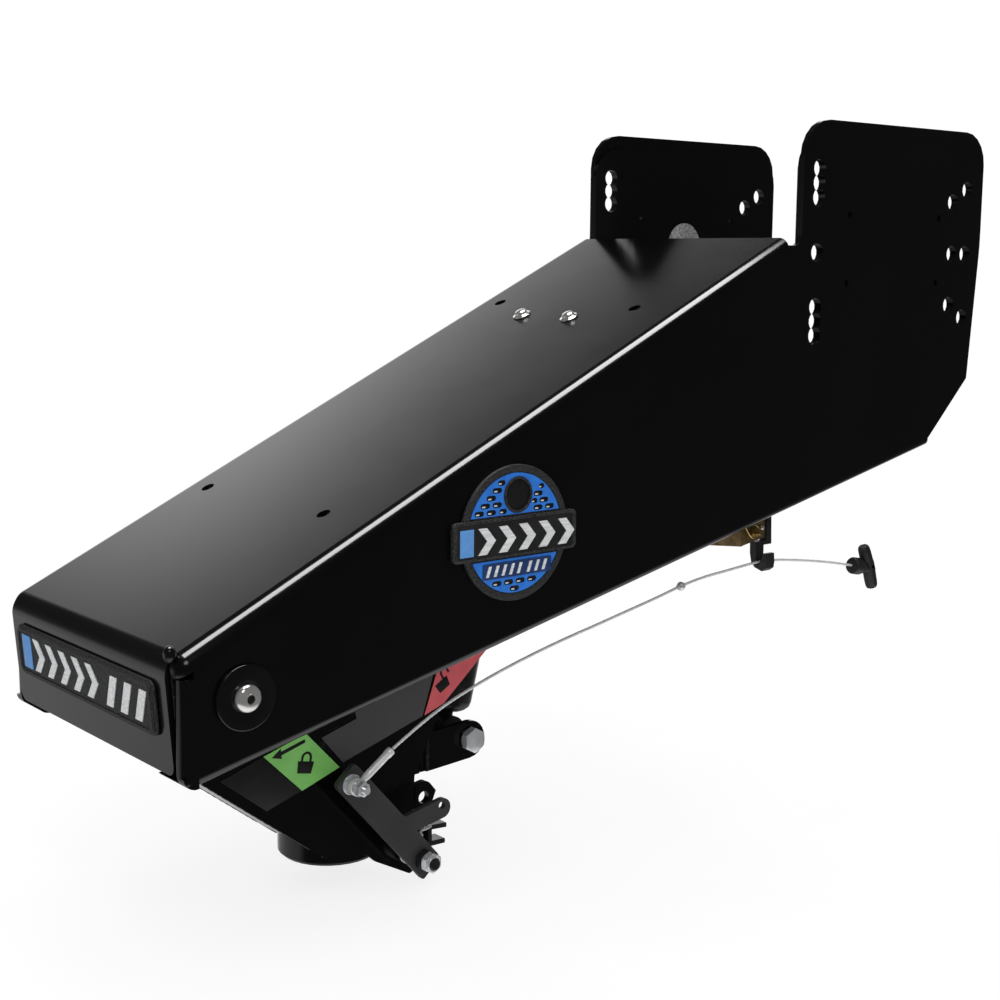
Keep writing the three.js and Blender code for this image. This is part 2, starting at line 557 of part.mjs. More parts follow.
// ---- release cable: eye with sleeve, wire, stop and pull handle ----------------------------------
const CABLE_D = 3.2;
const CABLE_ROUTE = [
  [-534, -102, -484.5], [-503, -103, -467], [-473, -104.6, -451.8], [-441, -107, -439],
  [-403, -110.6, -425.6], [-364.5, -115.4, -413.4], [-325.7, -120.4, -402.4],
  [-284, -125, -392.2], [-242, -128.2, -382.4], [-200, -129.9, -373.3], [-181, -130, -369.1],
  [-162, -130, -365.1], [-125.6, -130, -359.7], [-86, -130, -356.6], [-62, -130, -354.7],
  [-39.3, -130, -353.3], [-22.7, -130, -353.3], [-4.6, -130, -354.2], [12, -130, -356],
  [29.8, -130, -358.3], [48.5, -130, -361], [67.5, -130, -363.9], [85.5, -130, -367],
  [103.8, -130, -370.4], [121, -130, -373.9], [138, -130, -377.5],
].map((point) => new THREE.Vector3(...point));
const CABLE_STOP = { index: 11, length: 9 };
const cableCurve = new THREE.CatmullRomCurve3(CABLE_ROUTE, false, 'centripetal');

function wire() {
  const section = new THREE.Shape();
  section.absarc(0, 0, CABLE_D / 2, 0, 2 * Math.PI);
  const geometry = new THREE.ExtrudeGeometry(section, {
    steps: 64, curveSegments: 4, bevelEnabled: false, extrudePath: cableCurve,
  });
  return toSolid(geometry);
}
add('release_cable', wire(), 'steel');

const stopAt = CABLE_ROUTE[CABLE_STOP.index];
const stopAxis = CABLE_ROUTE[CABLE_STOP.index + 1].clone()
  .sub(CABLE_ROUTE[CABLE_STOP.index - 1]).normalize();
const stopHalf = CABLE_STOP.length / 2;
add('cable_stop', turned([
  [2.2, -stopHalf], [3.6, -stopHalf], [5, -stopHalf + 2.5], [5, stopHalf - 2.5], [3.6, stopHalf],
  [2.2, stopHalf], [2.2, -stopHalf],
], stopAt, stopAxis, 16), 'zinc');

function cableTerminal() {
  const sleeveEnd = CABLE_ROUTE[0];
  const axis = CABLE_ROUTE[1].clone().sub(sleeveEnd).normalize();
  const eye = turned(ring(4.4, 9, -101.5, -95), CABLE_BOLT, Y_AXIS);
  const from = new THREE.Vector3(CABLE_BOLT.x + 7.5, -98.6, CABLE_BOLT.z + 6.2);
  const joint = sleeveEnd.clone().addScaledVector(axis, -1.4);
  const along = joint.clone().sub(from);
  const length = along.length();
  along.normalize();
  const sleeve = turned([
    [0, -2], [3.2, -2], [4.4, 4], [4.6, 9], [4.4, length - 3], [3.2, length], [0, length],
  ], from, along, 16);
  return eye.add(sleeve).subtract(rodY(4.4, -110, -90, CABLE_BOLT));
}
add('cable_terminal', cableTerminal(), 'zinc');

const HANDLE_BAR = [[171, -382, 159.5, -356], [171, -382, 180, -410]];

function pullHandle() {
  const end = CABLE_ROUTE[CABLE_ROUTE.length - 1];
  const axis = end.clone().sub(CABLE_ROUTE[CABLE_ROUTE.length - 2]).normalize();
  const boss = turned([
    [0, GAP], [8.8, GAP], [10.4, 2], [10.4, 14], [8.5, 20], [7, 32], [0, 32],
  ], end, axis, 20);
  return HANDLE_BAR.reduce((shape, [x0, z0, x1, z1]) => {
    const from = new THREE.Vector3(x0, end.y, z0);
    const along = new THREE.Vector3(x1, end.y, z1).sub(from);
    const length = along.length();
    const half = turned([
      [0, -6], [8.6, -6], [8, length - 6], [6, length], [0, length],
    ], from, along.normalize(), 8);
    return shape.add(half);
  }, boss);
}
add('pull_handle', pullHandle(), 'plastic');

// ---- position labels on the left coupler plate ------------------------------------------------------
const LABEL_Y = [-COUPLER.outer - 1, -COUPLER.outer - GAP];
const LABELS = [
  ['label_locked', [[-654, -480], [-606, -466], [-567, -508], [-611, -523]], 'green'],
  ['label_unlocked', [[-462, -474.4], [-437, -466], [-382, -419.3], [-352, -393], [-425, -375]],
    'red'],
  ['label_middle', [
    [-588, -474], [-546, -462], [-549, -452], [-440, -405], [-451, -434], [-464.5, -474.6],
    [-563, -504],
  ], 'steel'],
];
for (const [name, corners, finish] of LABELS) {
  add(name, plateY(corners, ...LABEL_Y), finish);
}

// ---- valve bracket, inflation valve and cable hook under the left flange ------------------------------
const bracketTop = (x) => bottomZ(x) - GAP;
const BRACKET_Y = -125;
const BRACKET = { front: -60, rear: -19, sheet: 2.5 };
function valveBracket() {
  const { front, rear, sheet } = BRACKET;
  const side = plateY([
    [front, -333], [rear, -326], [rear, bracketTop(rear)], [front, bracketTop(front)],
  ], BRACKET_Y, BRACKET_Y + sheet);
  const face = plateZ([
    [front, BRACKET_Y], [front + sheet, BRACKET_Y], [front + sheet, -58], [front, -58],
  ], -345, -250);
  const trim = sweep([
    [BRACKET_Y, 0], [-58, -7.5], [-58, 90], [BRACKET_Y, 90],
  ], { x: front - 5, z: -333 }, 0, 12);
  const foot = plateY([
    [front, bracketTop(front) - sheet], [rear, bracketTop(rear) - sheet],
    [rear, bracketTop(rear)], [front, bracketTop(front)],
  ], -140, BRACKET_Y + sheet);
  const under = plateY([
    [-100, -400], [20, -400], [20, bracketTop(20)], [-100, bracketTop(-100)],
  ], -200, -50);
  return side.add(face.intersect(trim)).intersect(under).add(foot);
}
const valveHole = rodY(4.4, -140, -100, { x: -40, z: -318 }, 16);
add('valve_bracket', valveBracket().subtract(valveHole), 'yellowZinc');
add('inflation_valve', turned([
  [0, -138], [3, -138], [3.4, -133], [4, -132], [4, -110], [0, -110],
], { x: -40, z: -318 }, Y_AXIS, 16), 'yellowZinc');

const HOOK = { x0: -37, x1: -23 };
function cableHook() {
  const profile = [
    [-127.6, -329.7], [-118.6, -329.7], [-119, -344], [-121.5, -355], [-127, -359.6],
    [-137.5, -362.6], [-143.4, -358.5], [-144.4, -351], [-143.4, -341.5], [-138.6, -341.5],
    [-138, -346.5], [-136.2, -349], [-132.2, -356], [-128.3, -355.8], [-127.6, -344],
  ];
  const j = extrude(profile, HOOK.x1 - HOOK.x0);
  j.applyMatrix4(new THREE.Matrix4().makeBasis(Y_AXIS, Z_AXIS, new THREE.Vector3(1, 0, 0)));
  const hook = toSolid(j.translate(HOOK.x0, 0, 0));
  const rear = BRACKET.rear + GAP;
  const arm = plateY([
    [rear, -334], [rear + 9, -334], [rear + 7, bracketTop(rear + 7)], [rear, bracketTop(rear)],
  ], -127.6, -117);
  const link = plateY([[HOOK.x0, -334.5], [rear + 9, -334.5], [rear + 9, -329.7],
    [HOOK.x0, -329.7]], -127.6, -119);
  return hook.add(link).add(arm);
}
add('cable_hook', cableHook(), 'plastic');

// ---- droop stops between the flanges and the rails ----------------------------------------------------
for (const [side, sign] of SIDES) {
  const [y0, y1] = between(sign, 145, 160);
  const foot = (x) => bottomZ(x) + SHEET / Math.cos(BOTTOM_ANGLE) + GAP;
  const stop = plateY([
    [-190, foot(-190)], [-150, foot(-150)], [-152, railZ(-152) - 1], [-188, railZ(-188) - 1],
  ], y0, y1);
  add(`droop_stop_${side}`, stop, 'rubber');
}

assembly.position.set(-(COLUMN_REAR[0] / 2), HALF_WIDTH, 0);
assembly.updateMatrixWorld(true);

export default assembly;
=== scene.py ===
"""Looks of a gooseneck coupler head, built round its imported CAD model.

Lengths are millimetres in the CAD source's own frame, where X = 0 is the front bolt column,
Y = 0 the middle and Z = 0 the middle bolt row. point() turns them into the row frame's metres.
"""

import math
import random

import bmesh
import bpy
from mathutils import Matrix, Vector


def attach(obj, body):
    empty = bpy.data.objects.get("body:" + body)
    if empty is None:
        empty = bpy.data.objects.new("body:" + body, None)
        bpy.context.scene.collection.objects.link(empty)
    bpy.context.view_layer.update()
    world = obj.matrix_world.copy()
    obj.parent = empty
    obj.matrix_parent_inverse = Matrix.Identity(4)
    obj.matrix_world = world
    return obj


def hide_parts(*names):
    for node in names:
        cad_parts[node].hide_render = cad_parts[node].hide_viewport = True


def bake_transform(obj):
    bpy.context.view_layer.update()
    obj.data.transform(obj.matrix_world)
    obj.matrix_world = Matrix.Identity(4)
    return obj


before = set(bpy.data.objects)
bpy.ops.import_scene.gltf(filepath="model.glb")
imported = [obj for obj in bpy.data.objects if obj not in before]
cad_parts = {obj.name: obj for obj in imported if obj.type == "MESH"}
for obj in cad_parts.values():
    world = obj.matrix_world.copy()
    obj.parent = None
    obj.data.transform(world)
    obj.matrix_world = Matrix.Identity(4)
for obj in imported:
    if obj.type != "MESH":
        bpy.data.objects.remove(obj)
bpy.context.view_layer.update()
MM = 0.001
SHIFT = Vector((-127.0, 171.5, 0.0))  # from the CAD source's frame to the row frame
X_AXIS, Y_AXIS, Z_AXIS = Vector((1, 0, 0)), Vector((0, 1, 0)), Vector((0, 0, 1))

SIDES = (("left", -1), ("right", 1))
FACE_Y = 171.5  # the outer face of a side plate
TOP_SLOPE = math.radians(25.18)  # the fall of the top plate
TOP_OUT = Vector((-math.sin(TOP_SLOPE), 0, math.cos(TOP_SLOPE)))
FLAP_LEAN = math.radians(4.53)  # the lean of the front flap
FLAP_X = -835.5  # the front flap's face at Z = 0


def point(x, y, z):
    """A place in the row frame, in metres."""
    return (Vector((x, y, z)) + SHIFT) * MM


def top_z(x):
    """The height of the top plate's upper face."""
    return 37.35 + x * math.tan(TOP_SLOPE)


SHAFT_AT = point(-486, 0, -614)  # the lever's shaft, along Y
CABLE_BOLT_AT = point(-574, 0, -516)  # the cable's bolt on the lever, along Y
AIR_SPRING_X = -234.6


# ---- camera ----------------------------------------------
CAMERA_AT = Vector((-1.54237, -1.15135, -0.00744))
CAMERA_AZIMUTH = math.radians(-39.7668)
CAMERA_ELEVATION = math.radians(8.6959)
CAMERA_ROLL = math.radians(0.39169)
CAMERA_LENS = 57.159


def make_camera():
    back = Vector((
        math.sin(CAMERA_AZIMUTH) * math.cos(CAMERA_ELEVATION),
        -math.cos(CAMERA_AZIMUTH) * math.cos(CAMERA_ELEVATION),
        math.sin(CAMERA_ELEVATION),
    ))
    right = (-back).cross(Z_AXIS).normalized()
    up = right.cross(-back)
    cos_roll, sin_roll = math.cos(CAMERA_ROLL), math.sin(CAMERA_ROLL)
    turned_right = right * cos_roll + up * sin_roll
    turned_up = up * cos_roll - right * sin_roll
    data = bpy.data.cameras.new("camera")
    data.sensor_width = 36.0
    data.lens = CAMERA_LENS
    data.clip_start, data.clip_end = 0.02, 100.0
    camera = bpy.data.objects.new("camera", data)
    bpy.context.scene.collection.objects.link(camera)
    turn = Matrix((turned_right, turned_up, back)).transposed()
    camera.matrix_world = Matrix.Translation(CAMERA_AT) @ turn.to_4x4()
    bpy.context.scene.camera = camera


make_camera()


# ---- materials -------------------------------------------
class Nodes:
    """A short way to make and join shader nodes."""

    def __init__(self, owner):
        owner.use_nodes = True
        self.tree = owner.node_tree
        self.tree.nodes.clear()
        self.places = self.make("ShaderNodeTexCoord").outputs

    def make(self, kind, inputs=None, **settings):
        """A node whose inputs get values, or are joined to the outputs of other nodes."""
        node = self.tree.nodes.new(kind)
        for key, value in settings.items():
            setattr(node, key, value)
        for key, value in (inputs or {}).items():
            if isinstance(value, bpy.types.NodeSocket):
                self.tree.links.new(value, node.inputs[key])
            else:
                node.inputs[key].default_value = value
        return node

    def surface(self, inputs):
        """The shader of a material, joined to its output."""
        shader = self.make("ShaderNodeBsdfPrincipled", inputs)
        self.make("ShaderNodeOutputMaterial", {"Surface": shader.outputs[0]})

    def noise(self, scale, detail, roughness=0.55, stretch=None):
        """Cloudy values, drawn out along the axes by `stretch`."""
        place = self.places["Object"]
        if stretch:
            mapping = self.make("ShaderNodeMapping", {"Scale": stretch, "Vector": place})
            place = mapping.outputs[0]
        return self.make("ShaderNodeTexNoise", {
            "Scale": scale, "Detail": detail, "Roughness": roughness, "Vector": place,
        }).outputs["Fac"]

    def ramp(self, source, steps, interpolation="LINEAR"):
        """Colours by the source's value; steps are (value, colour)."""
        node = self.make("ShaderNodeValToRGB", {"Fac": source})
        node.color_ramp.interpolation = interpolation
        elements = node.color_ramp.elements
        while len(elements) < len(steps):
            elements.new(0.5)
        for element, (value, colour) in zip(elements, steps):
            element.position = value
            element.color = (*colour, 1)
        return node.outputs["Color"]

    def ranged(self, source, start, end, low=0.0, high=1.0, kind="LINEAR"):
        """Turns the values from start to end into those from low to high."""
        return self.make("ShaderNodeMapRange", {
            "Value": source, "From Min": start, "From Max": end, "To Min": low, "To Max": high,
        }, interpolation_type=kind).outputs["Result"]


MATERIALS, SLOT_OF = {}, {}


def finish(name, slot, dark, light, rough, bumps, tone_scale=14.0, metal=0.0, coat=0.0,
           stretch=None):
    """A worn, slightly uneven surface: tone, roughness and relief all vary."""
    MATERIALS[name] = bpy.data.materials.new(name)
    SLOT_OF[name] = slot
    nodes = Nodes(MATERIALS[name])
    tone = nodes.noise(tone_scale, 5.0, 0.6, stretch)
    patches = nodes.noise(tone_scale * 3.1, 6.0, 0.65, stretch)
    relief = {}
    for scale, strength, depth in bumps:
        bump = nodes.make("ShaderNodeBump", {
            "Height": nodes.noise(scale, 2.0, 0.5, stretch), "Strength": strength,
            "Distance": depth, **relief})
        relief = {"Normal": bump.outputs["Normal"]}
    nodes.surface({
        "Base Color": nodes.ramp(tone, ((0.35, dark), (0.65, light))), "Metallic": metal,
        "Roughness": nodes.ranged(patches, 0.3, 0.7, *rough),
        "Coat Weight": coat, "Coat Roughness": 0.12, **relief})


# Relief as (scale, strength, depth in metres) of each layer.
ORANGE_PEEL = ((900.0, 0.05, 0.00004), (140.0, 0.03, 0.00008))
MOULDED = ((1500.0, 0.25, 0.0001),)
CAST = ((260.0, 0.5, 0.0006), (1300.0, 0.2, 0.0002))
BRUSHED = ((900.0, 0.12, 0.00008), (2500.0, 0.1, 0.00005))
GRAINY = ((420.0, 1.0, 0.0014), (1300.0, 0.6, 0.0004))
PRINTED = ((420.0, 0.35, 0.0002),)

# Each row: name, slot, dark and light tone, range of roughness, relief, tone scale, metal.
finish("powder", "black_powder_coat", (0.0014, 0.0014, 0.0015), (0.0021, 0.0021, 0.0022),
       (0.13, 0.16), ORANGE_PEEL, 6.0)
finish("satin", "black_powder_coat", (0.026, 0.026, 0.027), (0.036, 0.036, 0.037),
       (0.34, 0.42), ORANGE_PEEL, 12.0)
finish("gloss", "black_powder_coat", (0.0030, 0.0030, 0.0032), (0.0042, 0.0042, 0.0044),
       (0.1, 0.14), ORANGE_PEEL, 30.0)
finish("powder_rough", "black_powder_coat", (0.004, 0.004, 0.0042), (0.009, 0.009, 0.0092),
       (0.25, 0.4), CAST)
finish("zinc", "bright_zinc", (0.6, 0.615, 0.63), (0.78, 0.8, 0.82), (0.1, 0.2), BRUSHED, 60, 0.62)
finish("wire", "steel", (0.66, 0.66, 0.67), (0.78, 0.78, 0.79), (0.2, 0.32), BRUSHED, 90, 0.35)
finish("bright", "bright_steel", (0.66, 0.65, 0.63), (0.8, 0.79, 0.78), (0.08, 0.2), BRUSHED,
       80, 0.8)
finish("yellow_zinc", "yellow_zinc", (0.17, 0.115, 0.05), (0.34, 0.24, 0.12), (0.3, 0.5),
       BRUSHED, 90, 0.8)
finish("brass", "brass", (0.6, 0.42, 0.15), (0.75, 0.56, 0.25), (0.2, 0.35), BRUSHED, 90, 1.0)
finish("rubber", "black_rubber", (0.012, 0.012, 0.013), (0.022, 0.022, 0.023), (0.6, 0.8),
       MOULDED, 40)
finish("plastic", "black_plastic", (0.009, 0.009, 0.010), (0.015, 0.015, 0.016), (0.38, 0.52),
       MOULDED, 60)
finish("textured", "black_plastic", (0.004, 0.004, 0.0045), (0.034, 0.034, 0.036), (0.5, 0.7),
       GRAINY, 480)
finish("dark_steel", "black_steel", (0.012, 0.012, 0.013), (0.026, 0.026, 0.027), (0.25, 0.4),
       BRUSHED, 70, 0.5)
finish("steel", "steel", (0.4, 0.41, 0.42), (0.56, 0.57, 0.58), (0.22, 0.4), BRUSHED, 70, 1.0)
finish("silver_print", "steel", (0.5, 0.51, 0.52), (0.74, 0.75, 0.76), (0.35, 0.5), PRINTED,
       260, 0.1, stretch=(0.15, 1, 2.5))
finish("foil", "steel", (0.1, 0.1, 0.1), (0.42, 0.42, 0.42), (0.35, 0.5), PRINTED, 330, 0.1)
finish("blue", "blue_emblem", (0.008, 0.12, 0.5), (0.016, 0.17, 0.62), (0.25, 0.4), MOULDED, 60,
       coat=0.3)
finish("deep_blue", "blue_emblem", (0.005, 0.025, 0.1), (0.009, 0.04, 0.15), (0.3, 0.45),
       MOULDED, 60)
finish("pale_blue", "blue_emblem", (0.06, 0.21, 0.52), (0.09, 0.27, 0.6), (0.35, 0.5), MOULDED,
       60)
finish("green", "green_label", (0.155, 0.44, 0.09), (0.185, 0.50, 0.115), (0.4, 0.55), MOULDED,
       45)
finish("red", "red_label", (0.53, 0.067, 0.08), (0.6, 0.085, 0.1), (0.4, 0.55), MOULDED, 45)
finish("grey_label", "grey_label", (0.044, 0.043, 0.047), (0.055, 0.054, 0.058), (0.5, 0.65),
       MOULDED, 500)
finish("black_label", "grey_label", (0.006, 0.006, 0.007), (0.010, 0.010, 0.011), (0.35, 0.5),
       MOULDED, 45)
# Near black: the real print on the labels, and also painted shade in the badge's slots and round
# hole and at the bottom of the pivot bolts' sockets.
finish("print_and_painted_shade", "grey_label", (0.004, 0.004, 0.004), (0.008, 0.008, 0.008), (0.4, 0.55),
       MOULDED, 200)


# ---- geometry helpers ------------------------------------
SMOOTH_ANGLE = math.radians(34)


def piece(name, mesh, material, body, replaces=()):
    """Finishes a mesh in row-frame metres as a piece that rides on a body."""
    mesh.name = name
    mesh.shade_smooth()
    mesh.set_sharp_from_angle(angle=SMOOTH_ANGLE)
    mesh.materials.clear()
    mesh.materials.append(MATERIALS[material])
    obj = bpy.data.objects.new(name, mesh)
    bpy.context.scene.collection.objects.link(obj)
    if body:
        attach(obj, body)
    if replaces:
        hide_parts(*replaces)
    return obj


def cleaned(mesh, distance):
    """Joins the points that lie on each other and turns every face outward."""
    shape = bmesh.new()
    shape.from_mesh(mesh)
    bmesh.ops.remove_doubles(shape, verts=shape.verts, dist=distance)
    bmesh.ops.recalc_face_normals(shape, faces=shape.faces)
    shape.to_mesh(mesh)
    shape.free()
    return mesh


def mesh_of(vertices, faces):
    """A clean mesh of points in row-frame metres and faces of their numbers."""
    mesh = bpy.data.meshes.new("mesh")
    mesh.from_pydata([tuple(v) for v in vertices], [], faces)
    return cleaned(mesh, 1e-7)


def joined(*meshes):
    """One mesh that holds several loose closed ones."""
    shape = bmesh.new()
    for mesh in meshes:
        shape.from_mesh(mesh)
    mesh = bpy.data.meshes.new("joined")
    shape.to_mesh(mesh)
    shape.free()
    return mesh


def rounded(corners, step=10.0):
    """[(a, b, radius)] to points, each corner with a radius becoming an arc."""
    points = []
    count = len(corners)
    for i, corner in enumerate(corners):
        here = Vector(corner[:2])
        radius = corner[2] if len(corner) > 2 else 0
        if not radius:
            points.append(here)
            continue
        inward = (Vector(corners[i - 1][:2]) - here).normalized()
        outward = (Vector(corners[(i + 1) % count][:2]) - here).normalized()
        half = math.acos(max(-1, min(1, inward.dot(outward)))) / 2
        centre = here + (inward + outward).normalized() * (radius / math.sin(half))
        first = here + inward * (radius / math.tan(half)) - centre
        last = here + outward * (radius / math.tan(half)) - centre
        turn = math.atan2(last.y, last.x) - math.atan2(first.y, first.x)
        turn = (turn + math.pi) % (2 * math.pi) - math.pi
        steps = max(2, math.ceil(abs(math.degrees(turn)) / step))
        for k in range(steps + 1):
            points.append(centre + Matrix.Rotation(turn * k / steps, 2) @ first)
    return points


def circle(x, y, radius, sides=32):
    """An outline round a middle."""
    return [Vector((x + radius * math.cos(2 * math.pi * k / sides),
                    y + radius * math.sin(2 * math.pi * k / sides))) for k in range(sides)]


def capsule(x, y, width, height, sides=6):
    """A slot lying along the first axis."""
    reach, radius = (width - height) / 2, height / 2
    points = []
    for side, turn in ((1, -math.pi / 2), (-1, math.pi / 2)):
        for k in range(sides + 1):
            angle = turn + math.pi * k / sides
            points.append(Vector((x + side * reach + radius * math.cos(angle),
                                  y + radius * math.sin(angle))))
    return points


def frame_ring(half, low, high, radius):
    """A rectangle with round corners, which reaches as far to both sides."""
    return rounded([(-half, low, radius), (half, low, radius), (half, high, radius),
                    (-half, high, radius)])


def slabs_on(across, up, base):
    """Gives a function that makes flat pieces with softened edges on the plane through base."""
    normal = across.cross(up)
    turn = Matrix((across, up, normal)).transposed().to_4x4()

    def slab(outline, low, high, bevel, holes=()):
        curve = bpy.data.curves.new("slab", "CURVE")
        curve.dimensions = "2D"
        curve.fill_mode = "BOTH"
        curve.extrude = ((high - low) / 2 - bevel) * MM
        curve.bevel_depth = bevel * MM
        curve.bevel_resolution = 2
        curve.offset = -bevel * MM
        for ring in [outline, *holes]:
            spline = curve.splines.new("POLY")
            spline.points.add(len(ring) - 1)
            for target, source in zip(spline.points, ring):
                target.co = (source[0] * MM, source[1] * MM, 0, 1)
            spline.use_cyclic_u = True
        holder = bpy.data.objects.new("slab", curve)
        bpy.context.scene.collection.objects.link(holder)
        graph = bpy.context.evaluated_depsgraph_get()
        mesh = bpy.data.meshes.new_from_object(holder.evaluated_get(graph))
        bpy.data.objects.remove(holder)
        bpy.data.curves.remove(curve)
        middle = base + normal * ((low + high) / 2 * MM)
        mesh.transform(Matrix.Translation(middle) @ turn)
        return cleaned(mesh, 2e-6)

    return slab


def axis_frame(axis):
    """The unit axis and two directions that are square to it."""
    axis = Vector(axis).normalized()
    side = axis.cross(X_AXIS if abs(axis.x) < 0.9 else Z_AXIS).normalized()
    return axis, side, axis.cross(side)


def skinned(rings, caps=False):
    """A mesh over rings of points, where a ring of one point is a tip."""
    faces, start = [], 0
    for low, high in zip(rings, rings[1:]):
        after = start + len(low)
        for k in range(max(len(low), len(high))):
            corners = (start + k % len(low), start + (k + 1) % len(low),
                       after + (k + 1) % len(high), after + k % len(high))
            face = tuple(dict.fromkeys(corners))
            if len(face) > 2:
                faces.append(face)
        start = after
    vertices = [v for ring in rings for v in ring]
    if caps:
        faces += [tuple(range(len(rings[0]))), tuple(range(start, len(vertices)))]
    return mesh_of(vertices, faces)


def lathe_mesh(profile, at, axis, sides=48, phase=0.0):
    """Turned round `axis` through `at`; profile is [(radius, height)], where either one may be
    a function of the angle."""
    axis, side, other = axis_frame(axis)
    rings = []
    for radius, height in profile:
        ring = []
        for k in range(sides if radius else 1):
            angle = 2 * math.pi * k / sides + phase
            reach, rise = (v(angle) if callable(v) else v for v in (radius, height))
            spoke = side * math.cos(angle) + other * math.sin(angle)
            ring.append(at + axis * (rise * MM) + spoke * (reach * MM))
        rings.append(ring)
    return skinned(rings)


def rod_mesh(radius, low, high, at, axis, sides=40):
    """A plain bar, which is round unless its radius is a function of the angle."""
    return lathe_mesh([(0, low), (radius, low), (radius, high), (0, high)], at, axis, sides)


def ball_mesh(radius, stretch, at, steps, sides):
    """A ball, or an egg that is stretched along Z."""
    turns = [math.pi * k / steps for k in range(steps + 1)]
    return lathe_mesh([(radius * math.sin(turn), -stretch * radius * math.cos(turn))
                       for turn in turns], at, Z_AXIS, sides)


def hex_reach(flats):
    """The distance from the middle of a hexagon to its edge, at an angle."""
    def reach(angle):
        return flats / 2 / math.cos(angle % (math.pi / 3) - math.pi / 6)
    return reach


def hex_mesh(flats, low, high, at, axis, bore=0.0):
    """A hexagonal nut or head whose corners are cut back by a 30 degree cone."""
    reach, edge = hex_reach(flats), flats / 2 * 0.97

    def trimmed(end, way):
        return lambda angle: end + way * (reach(angle) - edge) * math.tan(math.radians(30))

    profile = [(bore, low), (edge, low), (reach, trimmed(low, 1)), (reach, trimmed(high, -1)),
               (edge, high), (bore, high)]
    if bore:
        profile.append(profile[0])
    return lathe_mesh(profile, at, axis, 72)


def thread_mesh(radius, low, high, at, axis, sides, pitch, depth=0.9):
    """A screw thread drawn as close grooves, from low to high along the axis."""
    profile = [(0, low), (radius - depth, low)]
    turns = max(1, int((high - low - 1.0) / pitch))
    for k in range(turns):
        start = low + 0.8 + k * pitch
        profile += [(radius - depth, start), (radius, start + pitch * 0.4),
                    (radius, start + pitch * 0.6)]
    profile += [(radius - depth, high), (0, high)]
    return lathe_mesh(profile, at, axis, sides)


def tube_mesh(path, radius, sides=12, scales=None, lobes=0, twist=0.0):
    """A tube along points in row-frame metres; `scales` vary its radius from point to point,
    and `lobes` and `twist` make it a laid rope."""
    rings = []
    side = axis_frame(path[1] - path[0])[1]
    for i, middle in enumerate(path):
        tangent = (path[min(i + 1, len(path) - 1)] - path[max(i - 1, 0)]).normalized()
        side = (side - tangent * side.dot(tangent)).normalized()
        other = tangent.cross(side)
        size = radius * (scales[i] if scales else 1.0)
        ring = []
        for k in range(sides):
            angle = 2 * math.pi * k / sides
            bulge = 1.0
            if lobes:
                bulge = 0.86 + 0.14 * abs(math.cos(lobes / 2 * (angle - twist * i)))
            spoke = side * math.cos(angle) + other * math.sin(angle)
            ring.append(middle + spoke * (size * bulge))
        rings.append(ring)
    return skinned(rings, caps=True)


def catmull(points, step):
    """A centripetal Catmull-Rom line through the points, sampled about every `step` metres."""
    line = []
    ends = [points[0] * 2 - points[1], *points, points[-1] * 2 - points[-2]]
    for i in range(1, len(ends) - 2):
        p0, p1, p2, p3 = ends[i - 1:i + 3]
        t1 = (p1 - p0).length ** 0.5
        t2 = t1 + (p2 - p1).length ** 0.5
        t3 = t2 + (p3 - p2).length ** 0.5
        count = max(2, round((p2 - p1).length / step))
        for k in range(count):
            t = t1 + (t2 - t1) * k / count
            a1 = p0.lerp(p1, t / t1)
            a2 = p1.lerp(p2, (t - t1) / (t2 - t1))
            a3 = p2.lerp(p3, (t - t2) / (t3 - t2))
            b1 = a1.lerp(a2, t / t2)
            b2 = a2.lerp(a3, (t - t1) / (t3 - t1))
            line.append(b1.lerp(b2, (t - t1) / (t2 - t1)))
    line.append(points[-1].copy())
    return line


# ---- release cable ---------------------------------------
CABLE_DIAMETER = 3.2
CABLE_ROUTE = [point(*p) for p in (
    (-534, -102, -484.5), (-503, -103, -467), (-473, -104.6, -451.8), (-441, -107, -439),
    (-403, -110.6, -425.6), (-364.5, -115.4, -413.4), (-325.7, -120.4, -402.4),
    (-284, -125, -392.2), (-242, -128.2, -382.4), (-200, -129.9, -373.3), (-181, -130, -369.1),
    (-162, -130, -365.1), (-125.6, -130, -359.7), (-86, -130, -356.6), (-62, -130, -354.7),
    (-39.3, -130, -353.3), (-22.7, -130, -353.3), (-4.6, -130, -354.2), (12, -130, -356),
    (29.8, -130, -358.3), (48.5, -130, -361), (67.5, -130, -363.9), (85.5, -130, -367),
    (103.8, -130, -370.4), (121, -130, -373.9), (138, -130, -377.5),
)]
CABLE_STOP_AT = 11  # the number of the route's point that holds the stop ball
CABLE_STEP = 0.0009


def make_cable():
    line = catmull(CABLE_ROUTE, CABLE_STEP)
    mesh = tube_mesh(line, CABLE_DIAMETER / 2 * MM, sides=21, lobes=7, twist=0.16)
    cable = piece("release_cable_wire", mesh, "wire", "cable", ["release_cable"])
    length = sum((b - a).length for a, b in zip(line, line[1:]))

    at = CABLE_ROUTE[CABLE_STOP_AT]
    along = CABLE_ROUTE[CABLE_STOP_AT + 1] - CABLE_ROUTE[CABLE_STOP_AT - 1]
    half = [(1.9, -5), (2.8, -5), (3.1, -4.4), (3.1, -3.6), (4.3, -2.6), (4.9, -1)]
    stop_profile = [*half, (5.0, 0), *[(r, -z) for r, z in reversed(half)], half[0]]
    stop = piece("cable_stop_ball", lathe_mesh(stop_profile, at, along, 32), "zinc", "cable",
                 ["cable_stop"])

    end = CABLE_ROUTE[-1]
    handle = make_handle(end, (end - CABLE_ROUTE[-2]).normalized())
    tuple(CABLE_ROUTE[0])


HANDLE_MIDDLE = point(171, -130, -382)
HANDLE_ENDS = (point(159.5, -130, -356), point(180, -130, -410))


